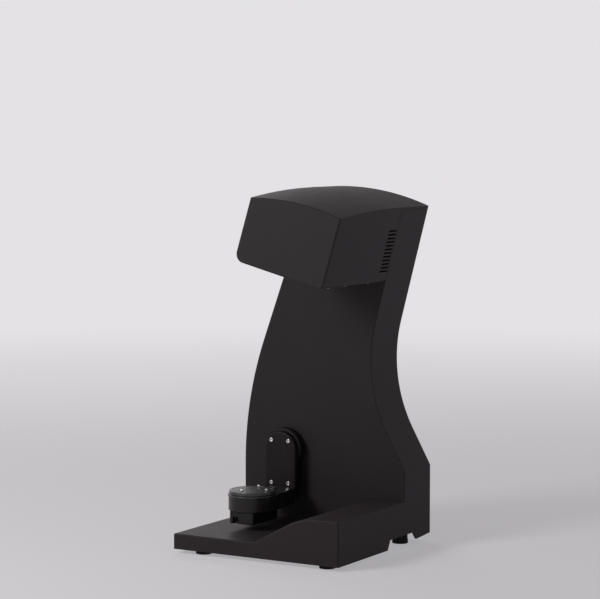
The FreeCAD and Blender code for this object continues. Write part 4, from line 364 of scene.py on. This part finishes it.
def turned(name, x, y, profile, sides=64):
    """A piece turned about an upright axis. Its profile goes up from the lower face, as radius and height."""
    begin()
    (r0, z0), (r1, z1) = profile[:2]
    place = (x * mm, y * mm, (z0 + z1) / 2 * mm)
    bpy.ops.mesh.primitive_cone_add(vertices=sides, radius1=r0 * mm, radius2=r1 * mm, depth=(z1 - z0) * mm,
                                    location=place)
    piece = bpy.context.object
    piece.name = name
    bpy.ops.object.transform_apply(location=True, rotation=False, scale=False)
    choose(piece, "FACE", lambda face: face.normal.z > 0.9 and len(face.vertices) == sides)
    for (ra, za), (rb, zb) in zip(profile[1:], profile[2:]):
        bpy.ops.mesh.extrude_region_move(TRANSFORM_OT_translate={"value": (0, 0, (zb - za) * mm)})
        bpy.ops.transform.resize(value=(rb / ra, rb / ra, 1), center_override=(x * mm, y * mm, zb * mm))
    bpy.ops.object.mode_set(mode="OBJECT")
    return piece


def apply_all(piece):
    bpy.context.view_layer.objects.active = piece
    for modifier in list(piece.modifiers):
        bpy.ops.object.modifier_apply(modifier=modifier.name)


def soften(piece, width, segments=2, angle=30):
    """Rounds every edge sharper than the angle."""
    bevel = piece.modifiers.new("soft_edges", "BEVEL")
    bevel.width = width * mm
    bevel.segments = segments
    bevel.limit_method = "ANGLE"
    bevel.angle_limit = radians(angle)
    apply_all(piece)


def combine(piece, operation, tools):
    for tool in tools:
        step = piece.modifiers.new("step", "BOOLEAN")
        step.operation = operation
        step.solver = "EXACT"
        step.object = tool
        apply_all(piece)
        bpy.data.objects.remove(tool)


def carve(piece, *tools):
    """Cuts tools out of the piece, and removes them."""
    combine(piece, "DIFFERENCE", tools)


def weld(piece, *others):
    """Makes the others one with the piece."""
    combine(piece, "UNION", others)


def round_rim(piece, width, segments, test):
    """Rounds the edges all round the chosen faces."""
    choose(piece, "FACE", test)
    bpy.ops.mesh.region_to_loop()
    bpy.ops.mesh.bevel(offset=width * mm, segments=segments, affect="EDGES")
    bpy.ops.object.mode_set(mode="OBJECT")


def block(name, x0, x1, y0, y1, z0, z1):
    """A squared block between its lowest and highest corners, to be shaped further."""
    begin()
    middle = ((x0 + x1) / 2 * mm, (y0 + y1) / 2 * mm, (z0 + z1) / 2 * mm)
    bpy.ops.mesh.primitive_cube_add(size=mm, location=middle, scale=(x1 - x0, y1 - y0, z1 - z0))
    piece = bpy.context.object
    piece.name = name
    bpy.ops.object.transform_apply(location=True, rotation=False, scale=True)
    return piece


def round_headed(name, x, y, radius, join, half, reach, z0, z1):
    """A flat slab: a round head about (x, y), then straight sides from y + join to two corners, which lie
    half to each side of x and reach ahead of y."""
    begin()
    bpy.ops.mesh.primitive_circle_add(vertices=128, radius=radius * mm, location=(x * mm, y * mm, z0 * mm))
    piece = bpy.context.object
    piece.name = name
    bpy.ops.object.transform_apply(location=True, rotation=False, scale=False)
    choose(piece, "VERT", lambda vertex: vertex.co.y > (y + join) * mm + 1e-6)
    bpy.ops.mesh.delete(type="VERT")
    bpy.ops.object.mode_set(mode="OBJECT")
    for side in (-1, 1):
        flank = [v.co for v in piece.data.vertices if (v.co.x - x * mm) * side > 0]
        end = max(flank, key=lambda spot: spot.y).copy()
        shift = ((x + side * half) * mm - end.x, (y + reach) * mm - end.y, 0)
        choose(piece, "VERT", lambda vertex: (vertex.co - end).length < 1e-7)
        bpy.ops.mesh.extrude_vertices_move(TRANSFORM_OT_translate={"value": shift})
        bpy.ops.object.mode_set(mode="OBJECT")
    choose(piece, "VERT", lambda vertex: True)
    bpy.ops.mesh.edge_face_add()
    bpy.ops.mesh.normals_make_consistent(inside=False)
    bpy.ops.mesh.extrude_region_move(TRANSFORM_OT_translate={"value": (0, 0, (z1 - z0) * mm)})
    bpy.ops.mesh.select_all(action="SELECT")
    bpy.ops.mesh.normals_make_consistent(inside=False)
    bpy.ops.object.mode_set(mode="OBJECT")
    return piece


def copied(piece, name, shift=(0, 0, 0)):
    """A copy of the piece with its own mesh, moved by a shift in millimetres."""
    begin()
    other = piece.copy()
    other.data = piece.data.copy()
    other.name = name
    bpy.context.scene.collection.objects.link(other)
    other.select_set(True)
    bpy.context.view_layer.objects.active = other
    other.location = [d * mm for d in shift]
    bpy.ops.object.transform_apply(location=True, rotation=False, scale=False)
    return other


def turn_over(piece, angle, axis, centre=(0, 0, 0)):
    """Turns the whole piece about a point, in edit mode, where a positive angle turns it left-handed."""
    choose(piece, "VERT", lambda vertex: True)
    middle = [c * mm for c in centre]
    bpy.ops.transform.rotate(value=radians(angle), orient_axis=axis, center_override=middle)
    bpy.ops.object.mode_set(mode="OBJECT")


def moved(piece, name, *steps):
    """A copy of the piece carried through steps: a shift, or an axis with the angle turned about it."""
    other = copied(piece, name)
    for step in steps:
        if isinstance(step[0], str):
            turn_over(other, -step[1], step[0])
        else:
            choose(other, "VERT", lambda vertex: True)
            bpy.ops.transform.translate(value=[d * mm for d in step])
            bpy.ops.object.mode_set(mode="OBJECT")
    return other


def fit(piece, body, slot, *replaced):
    """Smooths a finished piece, gives it its finish and seats it on its body for the replaced nodes."""
    begin()
    piece.select_set(True)
    bpy.context.view_layer.objects.active = piece
    bpy.ops.object.shade_smooth_by_angle(angle=radians(32))
    piece.data.materials.clear()
    piece.data.materials.append(finishes[slot])
    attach(piece, body)
    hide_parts(*replaced)


# ---------------------------------------------------------------- turntable and arm
def pin_spots():
    return [(arm_x + pin_circle * cos(radians(a)), arm_y + pin_circle * sin(radians(a)))
            for a in (0, pin_spread, -pin_spread)]


def table():
    """Polished table with fine turned rings, a centre mark and relieved pin holes."""
    profile = [(7.5, table_bottom), (7.5, 71.3), (29.75, 71.3), (30.2, 71.75), (30.2, 75.5), (30.05, 75.8),
               (29.75, 75.95), (29.4, table_top), (26.7, table_top), (26.5, 75.6), (25.9, 75.6),
               (25.7, table_top), (16.2, table_top), (16.1, 75.85), (15.8, 75.85), (15.7, table_top),
               (9.2, table_top), (9.1, 75.85), (8.8, 75.85), (8.7, table_top), (1.6, table_top), (1.2, 75.5),
               (0.3, 75.2)]
    piece = turned("scan_table", arm_x, arm_y, profile, 96)
    relief = 0.3
    hole = [(pin_shank, pin_sink), (pin_shank, table_top - relief), (pin_radius + relief, table_top - relief),
            (pin_radius + relief, table_top + 1.0)]
    tools = [turned("pin_hole", x, y, hole, 32) for x, y in pin_spots()]
    spindle = [(spindle_radius, table_bottom - 1.5), (spindle_radius, table_top - 1.5)]
    carve(piece, *tools, turned("spindle_hole", arm_x, arm_y, spindle, 48))
    fit(piece, "turntable", "table_black", "turntable_disc")


def pins():
    """Turned pins with a rounded nose and a pry groove under it."""
    groove = pin_radius - 0.15
    profile = [(pin_shank, pin_sink), (pin_shank, table_top), (1.95, table_top), (pin_radius, 76.1),
               (pin_radius, 76.7), (groove, 76.8), (groove, 77.0), (pin_radius, 77.1), (pin_radius, 78.35),
               (1.93, 78.62), (1.74, 78.83), (1.45, 78.96), (1.05, 79.0)]
    names = ("locating_pin_right", "locating_pin_rear", "locating_pin_front")
    first = turned("locating_pin", 0, 0, profile, 40)
    for name, (x, y) in zip(names, pin_spots()):
        fit(copied(first, name, (x, y, 0)), "turntable", "pin_steel", "locating_pins")
    bpy.data.objects.remove(first)


def arm_plan(name, grow, z0, z1):
    """Slab with the arm's plan: round under the table, drawn in to the swing plate's width."""
    radius, half, reach = arm_radius + grow, plate_half + grow, plate_front - 0.2 - arm_y
    join = radius * cos(atan(half / reach) + acos(radius / hypot(reach, half)))
    return round_headed(name, arm_x, arm_y, radius, join, half, reach, z0, z1)


def arm_top():
    """Polished lid of the arm with softened edges, open for the table's hub and the cap."""
    piece = arm_plan("arm_top", 1.0, lid_bottom, lid_top)
    soften(piece, 0.45, 3, 60)
    low, high = lid_bottom - 2.5, lid_top + 2.0
    carve(piece, turned("hub_hole", arm_x, arm_y, [(8.1, low), (8.1, high)], 64),
          turned("cap_hole", arm_x, cap_y, [(6.0, low), (6.0, high)], 48))
    fit(piece, "swing_arm", "arm_black", "arm_top_plate")


def cap():
    """Round cap with a stepped rim and a coin slot."""
    face, rim = 72.2, 72.5
    profile = [(5.8, lid_bottom), (5.8, lid_top), (7.4, lid_top), (cap_radius, 71.1), (cap_radius, 72.1),
               (7.35, 72.35), (7.0, rim), (5.6, rim), (5.4, face), (2.0, face)]
    piece = turned("tension_cap", arm_x, cap_y, profile, 64)
    slot = block("slot", arm_x - 4.0, arm_x + 4.0, cap_y - 0.6, cap_y + 0.6, face - 0.6, face + 0.6)
    turn_over(slot, 35, "Z", (arm_x, cap_y, face))
    carve(piece, slot)
    fit(piece, "swing_arm", "arm_black", "access_cap")


def socket_screw(name, shank, grip):
    """Socket-head screw, head up, the underside of its head at the origin: round rim and hex socket."""
    profile = [(shank * 0.86, -grip), (shank, -grip + 0.4), (shank, 0.0), (2.6, 0.0), (screw_head, 0.15),
               (screw_head, 1.62), (2.66, 1.84), (2.45, 1.98), (2.2, 2.0), (1.75, 2.0), (1.55, 1.88)]
    piece = turned(name, 0, 0, profile, 48)
    carve(piece, turned("hex_socket", 0, 0, [(1.45, 0.8), (1.45, 2.2)], 6))
    soften(piece, 0.05, 1, 40)
    return piece


def swing_screw_spots():
    return [(arm_x + side * screw_across, z) for side in (-1, 1) for z in (screw_low, screw_high)]


def swing_plate_screws():
    """The four bright screws that hold the arm to the shaft."""
    first = socket_screw("swing_plate_screw", screw_shank, 12.8)
    turn_over(first, -90, "X")
    names = ("lower_left", "upper_left", "lower_right", "upper_right")
    for name, (x, z) in zip(names, swing_screw_spots()):
        screw = copied(first, "swing_screw_" + name, (x, plate_front + head_sink, z))
        fit(screw, "swing_arm", "steel", "swing_screws")
    bpy.data.objects.remove(first)


def upright(piece, name, y):
    """Stands a slab, made flat about the origin, on the swing axis. Its lower face comes to the front."""
    other = moved(piece, name, ("X", -90), (arm_x, y, swing_z))
    bpy.data.objects.remove(piece)
    return other


def screw_holes(z0, z1, radius):
    """Holes for the swing screws in a slab that lies flat, before it is stood up."""
    profile = [(radius, z0), (radius, z1)]
    return [turned("hole", x - arm_x, swing_z - z, profile, 32) for x, z in swing_screw_spots()]


def swing_plate():
    """Round-topped plate with a full round along its front edge, and the leg that runs inside the arm."""
    thick, reach = plate_back - plate_front, swing_z - leg_bottom
    piece = round_headed("flat_plate", 0, 0, plate_half, 0, plate_half, reach, 0, thick)
    round_rim(piece, 2.4, 6, lambda face: face.normal.z < -0.9)
    round_rim(piece, 0.3, 2, lambda face: face.normal.z > 0.9)
    carve(piece, *screw_holes(-1.0, head_sink, screw_head + 0.3))
    carve(piece, *screw_holes(-1.0, thick + 1.0, screw_shank + 0.2))
    piece = upright(piece, "swing_plate", plate_front)

    leg_half, nose_radius, hub_radius, hub_bottom = 19.0, 27.5, 7.5, 48.0
    leg = block("leg", arm_x - leg_half, arm_x + leg_half, arm_y, plate_front + 1.0, leg_bottom, leg_top)
    nose = turned("nose", arm_x, arm_y, [(nose_radius, leg_bottom), (nose_radius, leg_top)], 96)
    hub = turned("hub", arm_x, arm_y, [(hub_radius, hub_bottom), (hub_radius, leg_top - 2.0)], 64)
    weld(leg, nose, hub)

    bearing, throat, shoulder = 5.5, 4.0, 52.0
    motor_y, motor_boss, tap = -19.0, 6.2, 1.55
    low, high = leg_bottom - 1.0, leg_top + 1.0
    bore = [(bearing, hub_bottom - 1.0), (bearing, shoulder), (throat, shoulder), (throat, leg_bottom),
            (bearing, leg_bottom), (bearing, high)]
    carve(leg, turned("bore", arm_x, arm_y, bore, 48),
          turned("motor_hole", arm_x, motor_y, [(motor_boss, low), (motor_boss, high)], 48))
    spots = [(side * 13.0, y) for side in (-1, 1) for y in (-58.5, -10.1)]
    spots += [(side * 13.5, motor_y) for side in (-1, 1)]
    carve(leg, *[turned("tapping", arm_x + x, y, [(tap, low), (tap, high)], 24) for x, y in spots])
    weld(piece, leg)
    fit(piece, "swing_arm", "black_metal", "swing_bracket")


def swing_carrier():
    """Machined block on the shaft that the swing plate is screwed to, with its edges broken."""
    radius, half, thick, foot = 27.0, 21.0, 10.5, 67.0
    tapped_depth, tap, shaft_radius = 8.5, 1.55, 7.0
    join = (radius ** 2 - half ** 2) ** 0.5
    piece = round_headed("flat_block", 0, 0, radius, join, half, swing_z - foot, 0, thick)
    soften(piece, 0.35, 2, 60)
    carve(piece, *screw_holes(-1.0, tapped_depth, tap))
    carve(piece, turned("shaft_hole", 0, 0, [(shaft_radius, -1.0), (shaft_radius, thick + 1.0)], 64))
    fit(upright(piece, "swing_carrier_block", plate_back), "swing_arm", "black_metal", "swing_carrier")


def feet():
    """Moulded feet: a ribbed side, a rounded tread with a ring, and the recess of the screw."""
    radius, groove, top = 10.5, 10.2, 5.5
    profile = [(9.7, 0.0), (10.1, 0.12), (10.4, 0.42), (radius, 0.8), (radius, 1.9), (groove, 2.1),
               (groove, 2.4), (radius, 2.6), (radius, 3.4), (groove, 3.6), (groove, 3.9), (radius, 4.1),
               (radius, top)]
    first = turned("foot", 0, 0, profile, 64)
    ring = turned("ring", 0, 0, [(8.3, -1.0), (7.9, 0.6)], 64)
    carve(ring, turned("ring_core", 0, 0, [(6.6, -1.5), (7.0, 1.0)], 64))
    carve(first, ring, turned("recess", 0, 0, [(4.3, -1.0), (4.1, 3.9), (2.2, 3.9), (2.2, 7.0)], 48))
    for place, (x, y) in foot_places.items():
        fit(copied(first, "foot_" + place, (x, y, 0)), "frame", "rubber", "rubber_feet")
    bpy.data.objects.remove(first)


# ---------------------------------------------------------------- optics
def barrel(radius, length):
    """Lens barrel hanging from the origin: a slotted grip ring, a groove above it and a flared mouth."""
    low, high, proud = -0.8 * length, -0.5 * length, radius + 0.8       # the grip ring
    profile = [(radius - 0.5, -length), (radius, -length + 0.5), (radius, low), (radius + 0.5, low),
               (proud, low + 0.3), (proud, high - 0.3), (radius + 0.5, high), (radius, high),
               (radius, high + 1.2), (radius - 0.3, high + 1.3), (radius - 0.3, high + 1.6),
               (radius, high + 1.7), (radius, 0.0)]
    sides = 72
    piece = turned("barrel", 0, 0, profile, sides)

    def in_slot(face):
        """Every second face round the ring."""
        spot = face.center / mm
        step = int((atan2(spot.y, spot.x) / (2 * pi) + 1) * sides)
        return low + 0.3 < spot.z < high - 0.3 and hypot(spot.x, spot.y) > radius and step % 2 == 0

    choose(piece, "FACE", in_slot)
    bpy.ops.mesh.inset(thickness=0.08 * mm, depth=-0.35 * mm, use_individual=True)
    bpy.ops.object.mode_set(mode="OBJECT")
    mouth = [(radius - 1.0, -length - 0.01), (0.72 * radius, 4.0 - length)]
    carve(piece, turned("mouth", 0, 0, mouth, sides))
    return piece


def lenses():
    """The barrels of both cameras, toed in, and of the projector between them."""
    into_head = (("Y", head_roll), (head_x, 0, head_z))
    lens = barrel(*camera_lens)
    for name, side in (("front", -1), ("rear", 1)):
        seat = (optics_x, arm_y + side * camera_spread, beam_z - camera_pad)
        piece = moved(lens, name + "_camera_barrel", (0, 0, -camera_length), ("X", -side * camera_toe_in),
                      seat, *into_head)
        fit(piece, "frame", "camera_metal", "camera_lenses")
    bpy.data.objects.remove(lens)
    lens = barrel(*projector_lens)
    piece = moved(lens, "projector_barrel", (optics_x, arm_y, beam_z - projector_body), *into_head)
    fit(piece, "frame", "projector_black", "projector_lens")
    bpy.data.objects.remove(lens)


# ---------------------------------------------------------------- power switch
def rocker():
    """Rocker with a hollow face, tipped to off, its pin, and the two marks inlaid in its ends."""
    half, high, proud, waist, rear = 7.3, 4.6, 5.0, 4.2, 2.2
    x, y, z = switch_x, rocker_y, socket_z
    piece = block("power_rocker_key", x - half, x + half, y - rear, y + proud, z - high, z + high)
    choose(piece, "FACE", lambda face: True)
    bpy.ops.mesh.bisect(plane_co=(0, 0, z * mm), plane_no=(0, 0, 1))
    bpy.ops.object.mode_set(mode="OBJECT")
    choose(piece, "VERT", lambda v: v.co.y > y * mm and abs(v.co.z - z * mm) < 0.1 * mm)
    bpy.ops.transform.translate(value=(0, (waist - proud) * mm, 0))
    bpy.ops.object.mode_set(mode="OBJECT")
    choose(piece, "VERT", lambda v: v.co.y < y * mm)
    bpy.ops.transform.resize(value=(1, 1, (high - 0.2) / high), center_override=(x * mm, y * mm, z * mm))
    bpy.ops.object.mode_set(mode="OBJECT")
    soften(piece, 0.35, 3, 50)
    pin_radius, pin_half = 1.2, 8.7
    pin = turned("pin", 0, 0, [(pin_radius, -pin_half), (pin_radius, pin_half)], 32)
    weld(piece, moved(pin, "rocker_pin", ("Y", 90), (x, y, z)))
    bpy.data.objects.remove(pin)

    mark_y, mark_z = y + (waist + proud) / 2 - 0.25, high / 2
    thick, bar_half, bar_tall, ring_out, ring_in = 0.33, 0.3, 1.1, 1.3, 0.8
    middle = z + mark_z
    bar = block("rocker_mark_on", x - bar_half, x + bar_half, mark_y, mark_y + thick,
                middle - bar_tall, middle + bar_tall)
    ring = turned("ring", 0, 0, [(ring_out, 0.0), (ring_out, thick)], 48)
    carve(ring, turned("ring_core", 0, 0, [(ring_in, -1.0), (ring_in, 1.0)], 48))
    off = moved(ring, "rocker_mark_off", ("X", -90), (x, mark_y, z - mark_z))
    bpy.data.objects.remove(ring)
    lean = degrees(atan((proud - waist) / high))
    turn_over(bar, lean, "X", (x, mark_y, z + mark_z))
    turn_over(off, -lean, "X", (x, mark_y, z - mark_z))
    for mark in (bar, off):
        soften(mark, 0.04, 1, 50)
    for part in (piece, bar, off):
        turn_over(part, rocker_travel / 2, "X", (x, y, z))
    fit(piece, "rocker", "rocker_black", "power_rocker")
    fit(bar, "rocker", "steel")
    fit(off, "rocker", "steel")


table()
pins()
arm_top()
cap()
swing_plate_screws()
swing_plate()
swing_carrier()
feet()
lenses()
rocker()


# ---------------------------------------------------------------- studio
backdrop = tone("e4e2e4")
lamp_white = (1.0, 0.98, 0.98)
gloss_share, fill_level = 0.65, 0.18


def studio_floor():
    """A pale round floor, far wider than the object."""
    bpy.ops.mesh.primitive_circle_add(vertices=96, radius=14, fill_type="NGON", location=(0, 0, 0))
    floor = bpy.context.object
    floor.name = "studio_floor"
    pale = Finish("floor_paint", {"Specular IOR Level": 0.2})
    pale.colour(pale.blend(pale.noise(900, 2, 0.5), tone("e6e4e8"), tone("ebe9ec")))
    pale.roughness(0.75 + 0.1 * pale.noise(60, 3, 0.5))
    reach = pale.node("ShaderNodeVectorMath", {"operation": "LENGTH"}, {0: pale.place}, "Value")
    distant = pale.node("ShaderNodeEmission", {}, {"Color": backdrop})
    near = Wire(pale, pale.shader.outputs[0])
    path = pale.node("ShaderNodeLightPath", {}, {}, "Is Diffuse Ray")
    mixed = pale.node("ShaderNodeMixShader", {}, {0: 0.45 * (1 - path), 1: near, 2: distant})
    mixed = pale.node("ShaderNodeMixShader", {}, {0: reach.above(1.9, 1.5), 1: mixed, 2: distant})
    output = [n for n in pale.tree.nodes if n.type == "OUTPUT_MATERIAL"][0]
    pale.tree.links.new(mixed.socket, output.inputs["Surface"])
    floor.data.materials.append(pale.material)


def soft_lamp(name, place, target, size, watts):
    """An oblong lamp at a place, aimed at a target. The camera doesn't see it."""
    data = bpy.data.lights.new(name, "AREA")
    data.shape = "RECTANGLE"
    data.size = size[0]
    data.size_y = size[1]
    data.energy = watts
    data.color = lamp_white
    lamp = bpy.data.objects.new(name, data)
    bpy.context.scene.collection.objects.link(lamp)
    lamp.location = place
    lamp.visible_camera = False
    lamp.rotation_euler = (Vector(target) - Vector(place)).to_track_quat("-Z", "Y").to_euler()


def studio_world():
    """Pale to the camera and through glass, dimmer in gloss, and dimmer still where it only lights."""
    world = bpy.data.worlds.new("studio_world")
    bpy.context.scene.world = world
    world.use_nodes = True
    tree = world.node_tree
    tree.nodes.clear()
    path = tree.nodes.new("ShaderNodeLightPath")
    seen = tree.nodes.new("ShaderNodeMath")
    seen.operation = "MAXIMUM"
    tree.links.new(path.outputs["Is Camera Ray"], seen.inputs[0])
    tree.links.new(path.outputs["Is Transmission Ray"], seen.inputs[1])
    gloss = tree.nodes.new("ShaderNodeMath")
    gloss.operation = "MULTIPLY"
    tree.links.new(path.outputs["Is Glossy Ray"], gloss.inputs[0])
    gloss.inputs[1].default_value = gloss_share
    brightest = tree.nodes.new("ShaderNodeMath")
    brightest.operation = "MAXIMUM"
    tree.links.new(seen.outputs[0], brightest.inputs[0])
    tree.links.new(gloss.outputs[0], brightest.inputs[1])
    level = tree.nodes.new("ShaderNodeMapRange")
    level.inputs["To Min"].default_value = fill_level
    level.inputs["To Max"].default_value = 1.0
    tree.links.new(brightest.outputs[0], level.inputs["Value"])
    sky = tree.nodes.new("ShaderNodeBackground")
    sky.inputs["Color"].default_value = backdrop
    tree.links.new(level.outputs["Result"], sky.inputs["Strength"])
    output = tree.nodes.new("ShaderNodeOutputWorld")
    tree.links.new(sky.outputs[0], output.inputs["Surface"])


studio_floor()
studio_world()
middle = (0.0, 0.0, 0.22)
soft_lamp("key_lamp", (-0.80, -1.44, 1.12), middle, (0.65, 0.5), 16.5)
soft_lamp("rear_lamp", (-1.5, 1.5, 1.2), middle, (0.9, 0.7), 5.5)

camera_data = bpy.data.cameras.new("studio_camera")
camera_data.sensor_fit = "HORIZONTAL"
camera_data.sensor_width = 36
camera_data.lens = 129
camera = bpy.data.objects.new("studio_camera", camera_data)
bpy.context.scene.collection.objects.link(camera)
camera.location = (1.41075, -2.390, 0.5385)
camera.rotation_euler = (radians(85.57), 0, radians(30.65))
bpy.context.scene.camera = camera
bpy.context.scene.view_settings.view_transform = "Standard"
